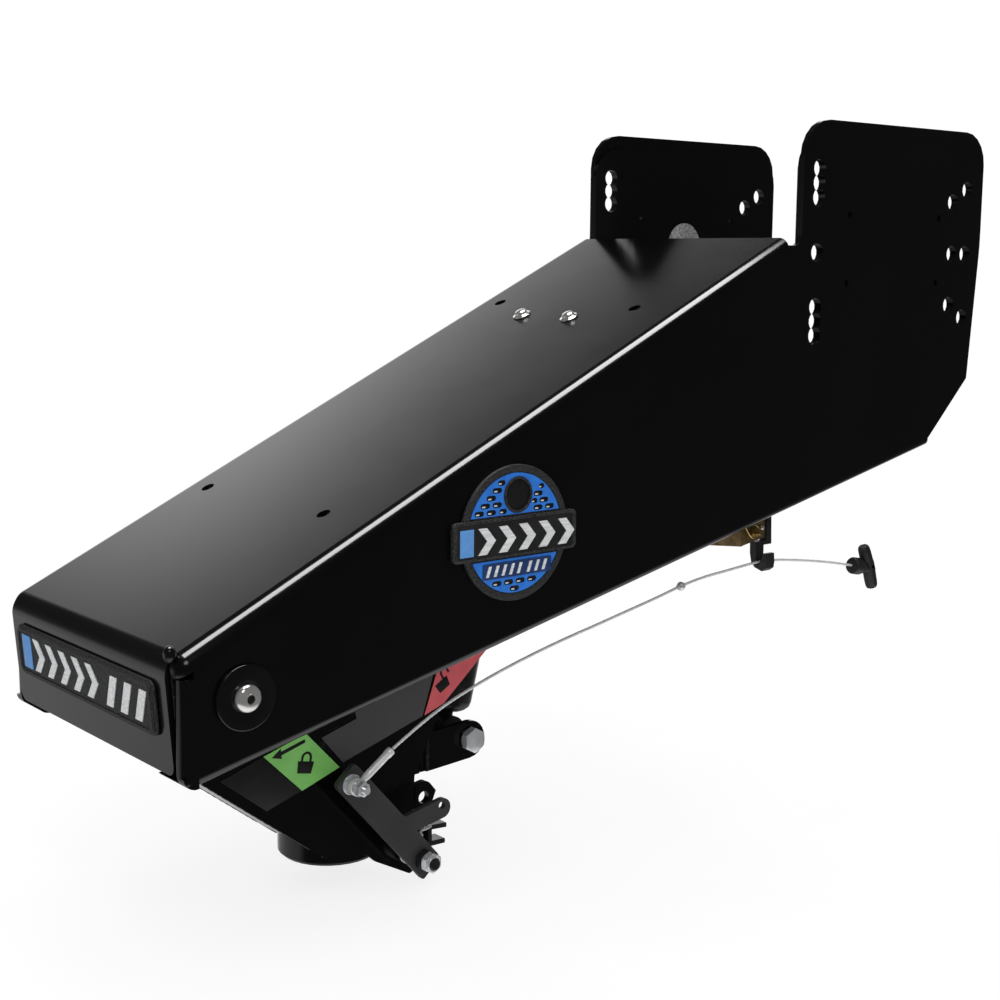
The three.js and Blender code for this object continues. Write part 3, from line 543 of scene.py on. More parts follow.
def make_handle(end, axis):
    """The T handle: a round boss on the cable and a bowed, faceted bar across it."""
    boss = [(2.4, 0.6), (8.4, 0.6), (9.6, 1.2), (10.4, 3), (10.4, 13), (9.6, 16), (8.2, 20),
            (7.4, 26), (7, 33), (0, 33)]
    parts = [lathe_mesh(boss, end, axis, 40),
             lathe_mesh([(2.4, 0.6), (1.9, 4), (0, 4)], end, axis, 40)]
    for tip in HANDLE_ENDS:
        along = tip - HANDLE_MIDDLE
        far = along.length / MM
        bar = [(0, -6), (8.5, -6), (8.5, 2), (8.1, far - 7), (7.6, far - 3), (6.2, far - 0.6),
               (5.4, far), (0, far)]
        parts.append(lathe_mesh(bar, HANDLE_MIDDLE, along, 8, math.pi / 8))
    grip = piece("pull_handle_grip", joined(*parts), "plastic", "cable", ["pull_handle"])
    soften(grip, 0.9, 3, 34)
    return grip


def soften(obj, width, segments, degrees):
    """Breaks the edges that turn by more than an angle."""
    edge = obj.modifiers.new("edge", "BEVEL")
    edge.width = width * MM
    edge.segments = segments
    edge.limit_method = "ANGLE"
    edge.angle_limit = math.radians(degrees)
    edge.harden_normals = True


make_cable()


# ---- floor and light -------------------------------------
FLOOR_MIDDLE = Vector((-0.62, 0.17, -0.6455))
FLOOR_SOLID, FLOOR_REACH = 0.35, 1.15  # it fades between these radii
FLOOR_GLOW = 0.78


def make_floor():
    """A pale disc under the coupler that fades into the white surroundings."""
    mesh = bpy.data.meshes.new("floor")
    rim = [(*place, 0) for place in circle(0, 0, FLOOR_REACH, 96)]
    mesh.from_pydata(rim, [], [tuple(range(len(rim)))])
    material = bpy.data.materials.new("floor")
    nodes = Nodes(material)
    tone = nodes.ramp(nodes.noise(3.0, 4.0), ((0.35, (0.26,) * 3), (0.65, (0.28,) * 3)))
    distance = nodes.make("ShaderNodeVectorMath", {0: nodes.places["Object"]},
                          operation="LENGTH").outputs["Value"]
    nodes.surface({
        "Base Color": tone, "Emission Color": (1.0, 1.0, 1.0, 1), "Emission Strength": FLOOR_GLOW,
        "Roughness": 0.9, "Specular IOR Level": 0.1,
        "Alpha": nodes.ranged(distance, FLOOR_SOLID, FLOOR_REACH * 0.98, 1.0, 0.0,
                              "SMOOTHSTEP")})
    mesh.materials.append(material)
    floor = bpy.data.objects.new("floor", mesh)
    floor.location = FLOOR_MIDDLE
    bpy.context.scene.collection.objects.link(floor)
    floor.visible_glossy = False


# What a glossy surface sees, as (upward part of the direction, brightness).
BEHIND = ((-1.0, 0.25), (-0.5, 0.35), (-0.25, 1.05), (0.2, 1.4), (0.44, 1.75), (0.54, 0.3),
          (0.585, 0.06), (1.0, 0.04))
AHEAD = ((-1.0, 0.12), (-0.55, 0.3), (-0.3, 0.54), (-0.12, 0.5), (0.05, 0.1), (0.2, 0.05),
         (1.0, 0.05))
IN_FRONT = ((-1.0, 1.0), (-0.74, 1.0), (-0.46, 0.05), (0.0, 0.03), (1.0, 0.03))
BRIGHTEST = 2.0
WHITE_SEEN = 1.02  # the background in the picture
FILL = 0.9  # its diffuse light


def make_world():
    """White to the camera, an even fill for diffuse light, and a graded studio for gloss."""
    world = bpy.data.worlds.new("studio")
    bpy.context.scene.world = world
    nodes = Nodes(world)

    def background(strength, colour=(1.0, 1.0, 1.0, 1)):
        return nodes.make("ShaderNodeBackground", {"Color": colour,
                                                   "Strength": strength}).outputs[0]

    split = nodes.make("ShaderNodeSeparateXYZ", {0: nodes.places["Generated"]}).outputs
    height = nodes.ranged(split["Z"], -1.0, 1.0)

    def graded(steps):
        return nodes.ramp(height, [((upward + 1) / 2, (level / BRIGHTEST,) * 3)
                                   for upward, level in steps], "EASE")

    def blended(axis, start, end, first, second):
        factor = nodes.ranged(split[axis], start, end, kind="SMOOTHSTEP")
        return nodes.make("ShaderNodeMix", {"Factor": factor, "A": first, "B": second},
                          data_type="RGBA").outputs["Result"]

    def chosen(ray, otherwise, when):
        factor = nodes.make("ShaderNodeLightPath").outputs[ray]
        return nodes.make("ShaderNodeMixShader", {0: factor, 1: otherwise, 2: when}).outputs[0]

    beyond = blended("X", -0.02, 0.26, graded(AHEAD), graded(BEHIND))
    around = blended("Y", -0.05, 0.3, graded(IN_FRONT), beyond)
    lit = chosen("Is Glossy Ray", background(FILL), background(BRIGHTEST, around))
    seen = chosen("Is Camera Ray", lit, background(WHITE_SEEN))
    nodes.make("ShaderNodeOutputWorld", {0: seen})


def area_light(name, at, target, width, height, radiance, diffuse=True):
    """A lamp that the camera doesn't see, as bright for its area as `radiance` says."""
    data = bpy.data.lights.new(name, "AREA")
    data.shape = "RECTANGLE"
    data.size, data.size_y = width, height
    data.energy = radiance * math.pi * width * height
    light = bpy.data.objects.new(name, data)
    bpy.context.scene.collection.objects.link(light)
    light.location = at
    light.rotation_mode = "QUATERNION"
    light.rotation_quaternion = (Vector(target) - Vector(at)).to_track_quat("-Z", "Y")
    light.visible_camera = False
    light.visible_diffuse = diffuse


def make_lights():
    area_light("overhead", (-0.45, 0.12, 2.3), (-0.45, 0.121, 0.0), 2.0, 1.2, 14.0, diffuse=False)
    area_light("key", (-1.6, -1.9, 1.5), (-0.5, 0.0, -0.3), 0.8, 0.8, 4.0)


make_floor()
make_world()
make_lights()
bpy.context.scene.view_settings.view_transform = "Standard"


# ---- CAD nodes that stay: softened edges and a finish ----
def dress(node, material, bevel):
    """Gives a CAD node broken edges and its material; its own mesh is left as it is."""
    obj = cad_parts[node]
    obj.data.materials.clear()
    obj.data.materials.append(MATERIALS[material])
    obj.data.polygons.foreach_set("use_smooth", [True] * len(obj.data.polygons))
    weld = obj.modifiers.new("weld", "WELD")
    weld.merge_threshold = 1e-5
    if node != "head_top_plate":  # dissolving loses a triangle beside this plate's bends
        flat = obj.modifiers.new("flat", "DECIMATE")
        flat.decimate_type = "DISSOLVE"
        flat.angle_limit = math.radians(0.4)
    soften(obj, bevel, 2, 36)
    normals = obj.modifiers.new("normals", "WEIGHTED_NORMAL")
    normals.keep_sharp = True
    normals.weight = 80


# ---- fasteners -------------------------------------------
def button_head(at, axis, radius, height, key):
    """A round domed screw head with a hexagonal socket."""
    profile = [(0, -0.2), (radius - 0.4, -0.2), (radius, 0.2), (radius, height * 0.22)]
    for k in range(1, 9):
        angle = math.radians(78) * k / 8
        profile.append((radius * math.cos(angle) ** 0.72, height * (0.22 + 0.78 * math.sin(angle))))
    floor = height - 3.6
    profile += [(key / 2 * 1.22, height), (hex_reach(key), height - 0.5),
                (hex_reach(key), floor), (key * 0.2, floor - 0.9), (0, floor - 1.1)]
    return lathe_mesh(profile, at, axis, 72)


def washer_mesh(inner, outer, low, high, at, axis):
    """A flat ring with broken edges."""
    soft = min(0.35, (high - low) / 3)
    return lathe_mesh([
        (inner, low + soft), (inner + soft, low), (outer - soft, low), (outer, low + soft),
        (outer, high - soft), (outer - soft, high), (inner + soft, high), (inner, high - soft),
        (inner, low + soft),
    ], at, axis, 56)


def make_pivots():
    """The washers and button-head bolts that the arm swings on."""
    seat = 4.6  # the bolt head's underside, from the side plate
    for side, sign in SIDES:
        out = Y_AXIS * sign
        at = point(-740, sign * FACE_Y, -381)
        piece(f"pivot_washer_{side}_disc", lathe_mesh([
            (10.4, 0.4), (28.4, 0.4), (29.2, 1.0), (29.3, 3.2), (29.1, 3.8), (28.7, 4.15),
            (28.0, 4.3), (11.2, 4.3), (10.5, 3.9), (10.4, 3.2), (10.4, 0.4)], at, out, 96),
            "gloss", "head", [f"pivot_washer_{side}"])
        bolt = joined(button_head(at + out * (seat * MM), out, 12.4, 6.8, 8.4),
                      rod_mesh(9.7, -49, seat, at, out))
        piece(f"pivot_bolt_{side}_head", bolt, "bright", "head", [f"pivot_bolt_{side}"])
        # Painted shade: a near-black hexagon fills the bottom of each bolt head's socket, where
        # shade falls.
        socket = rod_mesh(hex_reach(8.3), 3.0, 4.3, at + out * (seat * MM), out, 72)
        piece(f"pivot_bolt_{side}_socket", socket, "print_and_painted_shade", "head")


def make_studs():
    """The air spring's studs and their nuts, on the top plate."""
    for side, y in (("left", -20.3), ("right", 59.3)):
        at = point(AIR_SPRING_X, y, top_z(AIR_SPRING_X))
        stud = lathe_mesh([
            (0, -6.2), (4.9, -6.2), (4.9, 0.3), (9.8, 0.3), (10.3, 0.7), (10.2, 1.5), (9.4, 2.0),
            (7.6, 2.4), (7.0, 2.8), (6.9, 4.6), (6.2, 5.6), (4.6, 6.6), (2.4, 7.2), (0, 7.35)],
            at, TOP_OUT)
        nut = hex_mesh(12.2, 2.2, 5.2, at, TOP_OUT)
        piece(f"spring_stud_{side}_nut", joined(stud, nut), "bright", "head",
              [f"spring_stud_{side}"])


def make_lever_hardware():
    """The lever's shaft and nuts, and the cable's bolt and nuts."""
    piece("lever_shaft_pin", joined(rod_mesh(7.9, -96.6, 57.4, SHAFT_AT, Y_AXIS, 48),
                                    hex_mesh(24, 57.6, 64, SHAFT_AT, Y_AXIS)),
          "zinc", "lever", ["lever_shaft"])
    piece("lever_shaft_thread", thread_mesh(6.0, -109, -96.4, SHAFT_AT, Y_AXIS, 40, 1.5, 0.7),
          "dark_steel", "lever")
    piece("shaft_spacer_nut", hex_mesh(20, -96.3, -88.4, SHAFT_AT, Y_AXIS, 8.2),
          "dark_steel", "lever", ["shaft_spacer"])
    collar = [(6.4, -106.8), (7.6, -106.9), (8.3, -106.2), (8.5, -105.2), (6.4, -105.2),
              (6.4, -106.8)]
    piece("shaft_lock_nut", joined(hex_mesh(19, -105.2, -97.0, SHAFT_AT, Y_AXIS, 6.4),
                                   lathe_mesh(collar, SHAFT_AT, Y_AXIS)),
          "zinc", "lever", ["shaft_nut"])
    piece("cable_bolt_screw", joined(
        hex_mesh(13, -81.6, -76.5, CABLE_BOLT_AT, Y_AXIS),
        rod_mesh(3.9, -95, -81.6, CABLE_BOLT_AT, Y_AXIS, 32),
        thread_mesh(4.0, -116, -95, CABLE_BOLT_AT, Y_AXIS, 32, 1.25, 0.55)),
        "zinc", "lever", ["cable_bolt"])
    piece("cable_lock_nut", joined(hex_mesh(13, -110.6, -104.0, CABLE_BOLT_AT, Y_AXIS, 4.15),
                                   washer_mesh(4.3, 8.6, -103.9, -102.0, CABLE_BOLT_AT, Y_AXIS)),
          "zinc", "lever", ["cable_nut"])
    piece("cable_back_nut", joined(washer_mesh(4.3, 10.4, -90.0, -88.2, CABLE_BOLT_AT, Y_AXIS),
                                   hex_mesh(13, -94.9, -90.2, CABLE_BOLT_AT, Y_AXIS, 4.15)),
          "zinc", "lever")


def make_terminal():
    """The forged eye on the bolt and the sleeve that is pressed on the cable."""
    start, end = Vector((-566.5, -98.6, -509.8)), Vector((-534, -102, -484.5))
    along = end - start
    far = along.length
    eye = lathe_mesh([
        (4.45, -101), (4.9, -101.4), (8.2, -101.4), (8.9, -100.6), (9, -98.3), (8.9, -96),
        (8.2, -95.1), (4.9, -95.1), (4.45, -95.6), (4.45, -101)], CABLE_BOLT_AT, Y_AXIS)
    sleeve = lathe_mesh([
        (0, -2.5), (2.6, -2.5), (3.4, 1), (4.0, 4), (4.1, 8), (4.1, far - 10), (4.2, far - 9.4),
        (4.6, far - 8.8), (4.6, far - 3), (4.2, far - 2), (3.0, far - 1.2), (0, far - 1.2)],
        point(*start), along, 40)
    piece("cable_terminal_sleeve", joined(eye, sleeve), "wire", "cable_end", ["cable_terminal"])


def make_damper():
    """The shock absorber between the ears and the upper bracket, and its bolts."""
    at_low, at_high = point(-395, 0, -514), point(-312, 0, -185)
    axis = at_high - at_low
    length = axis.length / MM
    can = [(0, 12), (9, 12), (9, 20), (14, 21), (20, 24), (24.5, 28.5), (26, 34), (26, 190),
           (25.6, 194), (24, 198), (21, 200), (9.4, 200), (8.6, 199), (8.6, 60), (0, 60)]
    ring = [(8.5, -18.6), (8.9, -19), (16.4, -19), (17, -18.4), (17, 18.4), (16.4, 19),
            (8.9, 19), (8.5, 18.6), (8.5, -18.6)]
    piece("shock_can_body", joined(lathe_mesh(can, at_low, axis, 64),
                                   lathe_mesh(ring, at_low, Y_AXIS, 56)),
          "dark_steel", "damper_body", ["shock_can"])
    piece("shock_rod_bar", joined(rod_mesh(7.5, 110, length - 12, at_low, axis, 48),
                                  lathe_mesh(ring, at_high, Y_AXIS, 56)),
          "steel", "damper_rod", ["shock_rod"])
    radius, ear = 7.9, 49.1
    piece("shock_low_bolt", joined(
        hex_mesh(24, -ear - 10.6, -ear - 1.4, at_low, Y_AXIS),
        rod_mesh(11.4, -ear - 1.5, -ear, at_low, Y_AXIS, 48),
        rod_mesh(radius, -ear, ear, at_low, Y_AXIS),
        thread_mesh(radius, ear, ear + 18, at_low, Y_AXIS, 40, 2.0)),
        "zinc", "arm", ["shock_bolt"])
    piece("shock_low_nut", hex_mesh(24, ear + 0.2, ear + 12.6, at_low, Y_AXIS, 8.2), "zinc",
          "arm", ["shock_nut"])
    piece("shock_high_bolt", joined(
        hex_mesh(24, -41.2, -31.4, at_high, Y_AXIS),
        rod_mesh(radius, -31.4, 31, at_high, Y_AXIS),
        thread_mesh(radius, 31, 44, at_high, Y_AXIS, 40, 2.0),
        hex_mesh(24, 31.3, 42, at_high, Y_AXIS, 7.6)),
        "zinc", "head", ["shock_upper_bolt"])


def make_air_spring():
    """The bellows between the head and the arm, and their two ends."""
    down = -TOP_OUT
    top = point(AIR_SPRING_X, 19.5, top_z(AIR_SPRING_X))

    def turned(profile):
        return lathe_mesh(profile, top, down, 64)

    sleeve = [(0, 12), (54, 12)]
    for k in range(41):
        t = k / 40
        sleeve.append((57.5 + 8.3 * abs(math.sin(2 * math.pi * t)) ** 0.8 - 3.5 * t, 13 + 104 * t))
    sleeve += [(50, 118), (0, 118)]
    bellows = piece("air_spring_sleeve", turned(sleeve), "rubber", None, ["air_spring_bellows"])
    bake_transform(bellows)
    piece("air_spring_piston_cup", turned([
        (0, 118.4), (40, 118.4), (42, 119.5), (44, 128), (47.6, 148), (47.8, 149.4), (0, 149.9)]),
        "plastic", "arm", ["air_spring_piston"])
    piece("air_spring_bead_disc", turned([
        (0, 6.9), (57, 6.9), (57.9, 7.8), (57.9, 10.6), (57, 11.4), (0, 11.5)]),
        "zinc", "head", ["air_spring_bead_plate"])


LEG_ROUTE = (
    (-493.2, -79.3, -606.0), (-493.7, -79.5, -599.8), (-487.3, -79.6, -595.9),
    (-481.8, -79.6, -592.7), (-483.5, -79.4, -589.2), (-482.2, -79.2, -586.9),
    (-477.6, -79.0, -586.6), (-472.8, -78.6, -586.1), (-468.5, -77.0, -586.0),
)


def make_return_spring():
    """The coil round the lever's shaft, and the bent leg that ends at the stop bracket."""
    radius, start, length, turns, steps = 10.9, -78.8, 17.2, 5, 26
    coil = []
    for k in range(turns * steps + 1):
        angle = 2 * math.pi * k / steps
        away = Vector((radius * math.cos(angle), start + length * k / (turns * steps),
                       radius * math.sin(angle)))
        coil.append(SHAFT_AT + away * MM)
    piece("return_spring_coil", tube_mesh(coil, 1.45 * MM), "steel", "arm", ["return_spring"])
    leg = catmull([point(*p) for p in LEG_ROUTE], 0.0015)
    piece("return_spring_leg", tube_mesh(leg, 1.6 * MM, 14), "zinc", "arm")


# ---- emblems, nameplate and labels -----------------------
def arc_field(radius, low, high, step=6.0):
    """The part of a disc that lies between two heights, as an outline."""
    angles = [math.radians(k * step) for k in range(int(360 / step))]
    points = [(radius * math.cos(angle), radius * math.sin(angle)) for angle in angles]
    kept = [p for p in points if low < p[1] < high]
    ends = []
    for level in (low, high):
        if abs(level) < radius:
            half = math.sqrt(radius ** 2 - level ** 2)
            ends += [(-half, level), (half, level)]
    ring = kept + ends
    middle = (0, sum(p[1] for p in ring) / len(ring))
    ring.sort(key=lambda p: math.atan2(p[1] - middle[1], p[0] - middle[0]))
    return ring


SLOT_PITCH, SLOT_ROW, SLOT_HEIGHT = 14.7, 6.9, 5.2
SLOT_FORMS = ((11.8, 0), (9.4, 0), (9.4, 2), (9.4, -2), (7.2, 3), (7.2, -3))


def slots_in(radius, low, high, clear=None):
    """Staggered rows of capsule slots (u, w, width) that lie whole inside a field.

    Each slot takes the first form, as (width, shift), that keeps off the rim and the hole.
    """
    rim_gap, hole_gap = 3.4, 3.0
    found = []
    row, w = 0, low + 3.8
    while w + 2.2 < high - 0.6:
        for column in range(-4, 5):
            home = (column + (0.5 if row % 2 else 0.0)) * SLOT_PITCH - 1.0
            for width, shift in SLOT_FORMS:
                u = home + shift
                ends = [(u - width / 2 + 2, w), (u + width / 2 - 2, w), (u, w)]
                if any(math.hypot(*end) > radius - rim_gap for end in ends):
                    continue
                if clear and any(math.hypot(end[0] - clear[0], end[1] - clear[1])
                                 < clear[2] + hole_gap for end in ends):
                    continue
                found.append((u, w, width))
                break
        row += 1
        w += SLOT_ROW
    return found


def chevron(u, low, high, width, thick):
    """A plain arrowhead shape."""
    middle = (low + high) / 2
    return [(u, high), (u + thick, high), (u + width, middle), (u + thick, low), (u, low),
            (u + width - thick, middle)]


def slash(u, low, high, width, lean):
    """A plain leaning bar."""
    return [(u, low), (u + width, low), (u + width + lean, high), (u + lean, high)]


# The badge, about its middle: the blue disc, its ring, the round hole and the banner.
BADGE_RADIUS, FIELD_RADIUS = 66.3, 58.4
HOLE = (2.8, 37.0)
BANNER_HALF, BANNER_LOW, BANNER_HIGH = 77.3, -22.4, 16.4


def make_emblem(side, sign):
    """A side badge: plain chevrons and slashes stand for its lettering."""
    slab = slabs_on(X_AXIS * -sign, Z_AXIS, point(-440.5, sign * FACE_Y, -269.5))

    def add(part, material, *meshes, replaces=()):
        piece(f"emblem_{side}_{part}", joined(*meshes), material, "head", replaces)

    rim = circle(0, 0, BADGE_RADIUS, 96)
    banner = frame_ring(BANNER_HALF, BANNER_LOW, BANNER_HIGH, 5)
    add("base", "textured",
        slab(rim, 0.35, 3.0, 0.5),
        slab(rim, 2.6, 4.3, 0.75, [circle(0, 0, 59.2, 96)]),
        slab(banner, 0.4, 4.6, 0.9),
        slab(banner, 4.2, 5.5, 0.55, [frame_ring(72.6, -19.6, 13.2, 2.5)]),
        slab(circle(*HOLE, 17.6, 48), 2.6, 5.0, 0.6, [circle(*HOLE, 15.2, 48)]),
        replaces=[f"side_emblem_{side}"])
    fields, lips, shades = [], [], []
    for low, high, clear in ((18.4, 60, (*HOLE, 17.8)), (-60, -24.4, None)):
        slots = slots_in(FIELD_RADIUS, max(low, -58), min(high, 58), clear)
        if not clear:  # the backing plate takes the middle of the lower field
            slots = [slot for slot in slots
                     if not (-47 < slot[0] < 51 and -45.5 < slot[1] < -24)]
        holes = [capsule(u, w, width, SLOT_HEIGHT) for u, w, width in slots]
        if clear:
            holes.append(circle(*clear, 48))
        fields.append(slab(arc_field(FIELD_RADIUS, low, high), 2.9, 3.9, 0.2, holes))
        # Painted shade: a thin near-black sheet just under each blue field shows through its slots
        # and the round hole, darkening them where shade falls.
        shades.append(slab(arc_field(58.0, low + 0.4, high - 0.4), 3.0, 3.12, 0.02))
        for u, w, width in slots:
            lips.append(slab(capsule(u - 1.6, w - 0.8, width * 0.36, 1.4), 3.1, 3.35, 0.1))
    # The painted shade sheets that darken the slots and the round hole.
    add("shades", "print_and_painted_shade", *shades)
    add("fields", "blue", *fields)
    add("lips", "silver_print", *lips)
    add("inset", "plastic", slab(frame_ring(73, -19.8, 13.4, 2), 4.4, 4.8, 0.1))
    add("bar", "pale_blue", slab(slash(-69, -17.4, 8.8, 16.4, 0), 4.7, 5.3, 0.12))
    arrows = [slab(chevron(-47.5 + 25.2 * k, -17, 8.6, 21.5, 10.5), 4.7, 5.95, 0.35)
              for k in range(5)]
    tabs = [slab(slash(-38.0 + 9.6 * k + (3.0 if k > 4 else 0.0), -39.6, -29.2, 3.4, 3.8),
                 4.9, 5.9, 0.25) for k in range(8)]
    add("shapes", "silver_print", *arrows, *tabs)
    backing = rounded([(-41, -42, 2), (45, -42, 2), (45, -26.8, 2), (-41, -26.8, 2)])
    add("backing", "deep_blue", slab(backing, 4.5, 5.1, 0.15))


def make_nameplate():
    """The plate on the front flap, with the same plain shapes."""
    height = -387.5
    up = Vector((-math.sin(FLAP_LEAN), 0, math.cos(FLAP_LEAN)))
    slab = slabs_on(-Y_AXIS, up, point(FLAP_X - height * math.tan(FLAP_LEAN), 0, height))
    plates = [slab(frame_ring(139.3, -25.0, 25.0, 8), 0.35, 3.4, 0.9),
              slab(frame_ring(137.4, -23.2, 23.2, 7), 3.0, 4.7, 0.7),
              slab(frame_ring(136.2, -22.2, 22.2, 6.4), 4.3, 5.7, 0.6,
                   [frame_ring(132.4, -19.2, 19.2, 4)])]
    piece("nameplate_frame", joined(*plates), "textured", "head", ["nameplate"])
    piece("nameplate_bar", slab(slash(-126, -15.6, 17.2, 19, 0), 4.6, 5.3, 0.15), "pale_blue",
          "head")
    shapes = [chevron(-101 + 28.3 * k, -15, 16.6, 24.3, 11.5) for k in range(5)]
    shapes += [slash(50.5 + 27.4 * k, -14.8, 15.0, 12.4, 12.6) for k in range(3)]
    piece("nameplate_shapes", joined(*[slab(shape, 4.6, 5.75, 0.3) for shape in shapes]),
          "silver_print", "head")


def make_labels():
    """The print on the position labels, the dark decal and the ribbed round label."""
    face_y = -57.95  # the face of the position labels
    slab = slabs_on(X_AXIS, Z_AXIS, point(0, face_y, 0))

    def printed(name, ring):
        piece(name, slab(ring, 0.0, 0.25, 0.05), "print_and_painted_shade", "arm")

    def padlock(name, x, z, angle, size, shift, lift):
        """A closed lock has no shift and no lift; an open one has its shackle moved by them."""
        c, s = math.cos(math.radians(angle)), math.sin(math.radians(angle))

        def turned(points):
            return [(x + size * (a * c - b * s), z + size * (a * s + b * c)) for a, b in points]

        printed(f"{name}_body", turned([(-8, -7), (8, -7), (9.4, 5), (-9.4, 5)]))
        turns = [math.pi * k / 12 for k in range(13)]
        base = 8.6 + lift
        outer = [(shift + 6.2 * math.cos(t), base + 6.2 * math.sin(t)) for t in turns]
        inner = [(shift + (a - shift) * 0.58, base + (b - base) * 0.62)
                 for a, b in reversed(outer)]
        printed(f"{name}_shackle", turned([
            (shift + 6.2, 5.0 + lift), *outer, (shift - 6.2, 5.0), (shift - 3.6, 5.0), *inner,
            (shift + 3.6, 5.0 + lift)]))

    printed("label_locked_arrow", [(-645.0, -483.2), (-634.6, -475.6), (-634.6, -478.8),
                                   (-607.6, -471.6), (-606.8, -474.9), (-634.0, -482.6),
                                   (-633.8, -486.2)])
    padlock("label_locked_lock", -607.3, -499.0, -12, 1.0, 0.0, 0.0)
    padlock("label_unlocked_lock", -438.5, -445.0, 31, 0.92, 9.0, 1.5)
    decal = [(-701, -495), (-654, -480), (-612, -523), (-651, -535)]
    piece("label_black_square", slab(decal, -0.8, -0.35, 0.1), "black_label", "arm")
    ridges = [(0, 0.5)]
    for k in range(1, 14):
        ridges += [(2.1 * k, 0.5), (2.1 * k + 0.25, 0.15), (2.1 * k + 0.75, 0.15),
                   (2.1 * k + 1.0, 0.5)]
    ridges += [(30, 0.5), (30, 0.05), (0, 0.05)]
    piece("wing_round_label", lathe_mesh(ridges, point(134.3, 161.85, 8.5), -Y_AXIS, 72),
          "foil", "head")


# ---- welds, corner fills and the valve -------------------
def bead(name, path, radius, body, seed, material="powder_rough"):
    """A weld bead with an uneven, rippled back."""
    random.seed(seed)
    line = catmull([point(*p) for p in path], 0.0012)
    scales = [1 + 0.07 * math.sin(k * 0.8) + random.uniform(-0.07, 0.07) for k in range(len(line))]
    piece(name, tube_mesh(line, radius * MM, 12, scales), material, body)


def corner_mesh(sign):
    """The domed end of the top plate's long bend: a quarter of a hollow half ball."""
    bend, outer, inner, steps, x = 16, 15.94, 9.7, 12, -794.5
    forward = Vector((-math.cos(TOP_SLOPE), 0, -math.sin(TOP_SLOPE)))
    middle = Vector((x, sign * (FACE_Y - bend), top_z(x))) - TOP_OUT * bend
    vertices, faces = [], []

    def index(shell, ring, step):
        return (shell * (steps + 1) + ring) * (steps + 1) + step

    for radius in (outer, inner):
        for ring in range(steps + 1):
            polar = math.pi / 2 * ring / steps
            for step in range(steps + 1):
                turn = math.pi / 2 * step / steps
                side = TOP_OUT * math.cos(turn) + Y_AXIS * sign * math.sin(turn)
                away = forward * math.cos(polar) + side * math.sin(polar)
                vertices.append(point(*(middle + away * radius)))
    for i in range(steps):
        for k in range(steps):
            for shell in (0, 1):
                faces.append((index(shell, i, k), index(shell, i + 1, k),
                              index(shell, i + 1, k + 1), index(shell, i, k + 1)))
        for k in (0, steps):
            faces.append((index(0, i, k), index(0, i + 1, k), index(1, i + 1, k), index(1, i, k)))
        faces.append((index(0, steps, i), index(0, steps, i + 1), index(1, steps, i + 1),
                      index(1, steps, i)))
    return mesh_of(vertices, faces)


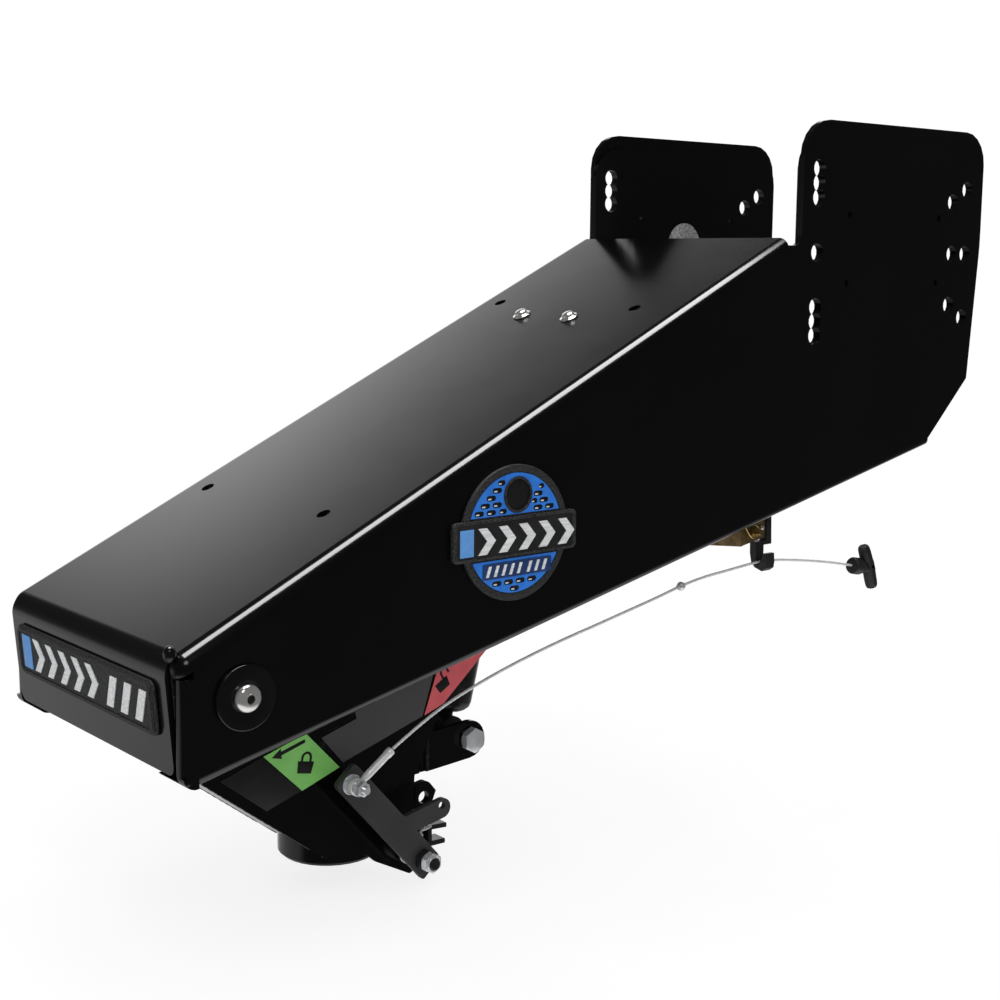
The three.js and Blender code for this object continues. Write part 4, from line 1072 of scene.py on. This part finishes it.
def make_welds():
    for side, sign in SIDES:
        def mirrored(*places):
            return [(x, sign * y, z) for x, y, z in places]

        nose = [(FLAP_X - z * math.tan(FLAP_LEAN) + 6.8, 158.2, z)
                for z in (-350, -365, -385, -405, -420, -430)]
        bead(f"nose_weld_{side}", mirrored(*nose), 2.3, "head", 3, "powder")
        piece(f"corner_dome_{side}", corner_mesh(sign), "powder", "head")
        at, size = (((-803, -158, -336.5), 5.6) if sign < 0 else ((-800, 155.5, -348.5), 4.4))
        piece(f"corner_fill_{side}", ball_mesh(size, 1.35, point(*at), 14, 32), "gloss", "head")
        for k, x in enumerate((-4, 172)):
            dot = mirrored((x, 164.2, 129.6), (x + 10, 164.4, 130.2), (x + 22, 164.2, 129.6))
            bead(f"doubler_weld_{side}_{k}", dot, 1.3, "head", 11 + k, "powder")
        bead(f"ear_weld_{side}", mirrored(
            (-452.4, 49.2, -498), (-452.6, 49.6, -512), (-452.8, 49.4, -525),
            (-452.8, 49.2, -537)), 2.6, "arm", 21)
        bead(f"front_weld_{side}", mirrored(
            (-716, 49.6, -496), (-680, 49.6, -524), (-640, 49.6, -555), (-598, 49.6, -587.5)),
            1.3, "arm", 31, "powder")
        bead(f"cup_weld_{side}_front", mirrored(
            (-594.3, 12, -587.3), (-589.2, 25.7, -591), (-582.6, 35.5, -597),
            (-576.0, 42.0, -603.2)), 1.9, "arm", 41, "satin")
        bead(f"cup_weld_{side}_rear", mirrored(
            (-565.0, 49.2, -605.2), (-555, 52.9, -601.2), (-544.6, 54.5, -598.4),
            (-531, 53.8, -599.2), (-519.4, 50.1, -601.6)), 2.2, "arm", 43, "satin")


def make_valve():
    """The inflation valve, its wire clip and its ball."""
    at = point(-40, 0, -318)
    stem = [(0, -110), (3.9, -110), (3.9, -131), (4.6, -131.4), (4.6, -133.2), (3.2, -133.6),
            (3.0, -136.8), (2.4, -138), (0, -138)]
    piece("inflation_valve_stem", joined(lathe_mesh(stem, at, Y_AXIS, 32),
                                         hex_mesh(11, -129.6, -125.8, at, Y_AXIS, 3.9)),
          "brass", "head", ["inflation_valve"])
    wire = catmull([point(*p) for p in (
        (-58, -126.4, -306), (-53, -127.6, -314), (-47, -128.4, -322), (-40, -128.6, -325),
        (-33.5, -128.2, -321), (-33, -127.8, -314), (-39, -127.4, -309.5), (-46, -127.0, -309),
        (-50, -126.6, -304))], 0.0012)
    piece("valve_wire_clip", tube_mesh(wire, 1.1 * MM), "brass", "head")
    piece("valve_ball", ball_mesh(2.9, 1.0, point(-27, -127.4, -314), 10, 24), "bright", "head")


make_pivots()
make_studs()
make_lever_hardware()
make_terminal()
make_damper()
make_air_spring()
make_return_spring()
for side, sign in SIDES:
    make_emblem(side, sign)
make_nameplate()
make_labels()
make_welds()
make_valve()

PLAIN = {
    "powder": ("head_top_plate head_side_left head_side_right wing_doubler_left "
               "wing_doubler_right arm_rail_left arm_rail_right pivot_tube arm_deck "
               "air_spring_seat socket_cup coupler_plate_left coupler_plate_right "
               "coupler_front_plate coupler_back_plate socket_top_plate shock_ear_left "
               "shock_ear_right shock_upper_bracket lock_tab"),
    "satin": "lock_lever",
    "powder_rough": "stop_bracket",
    "yellow_zinc": "valve_bracket pivot_bush_left pivot_bush_right",
    "rubber": "droop_stop_left droop_stop_right",
    "plastic": "cable_hook",
    "steel": "ball_jaw",
    "green": "label_locked",
    "red": "label_unlocked",
    "grey_label": "label_middle",
}
for material, names in PLAIN.items():
    for node in names.split():
        dress(node, material, 0.15 if node.startswith("label") else 0.5)
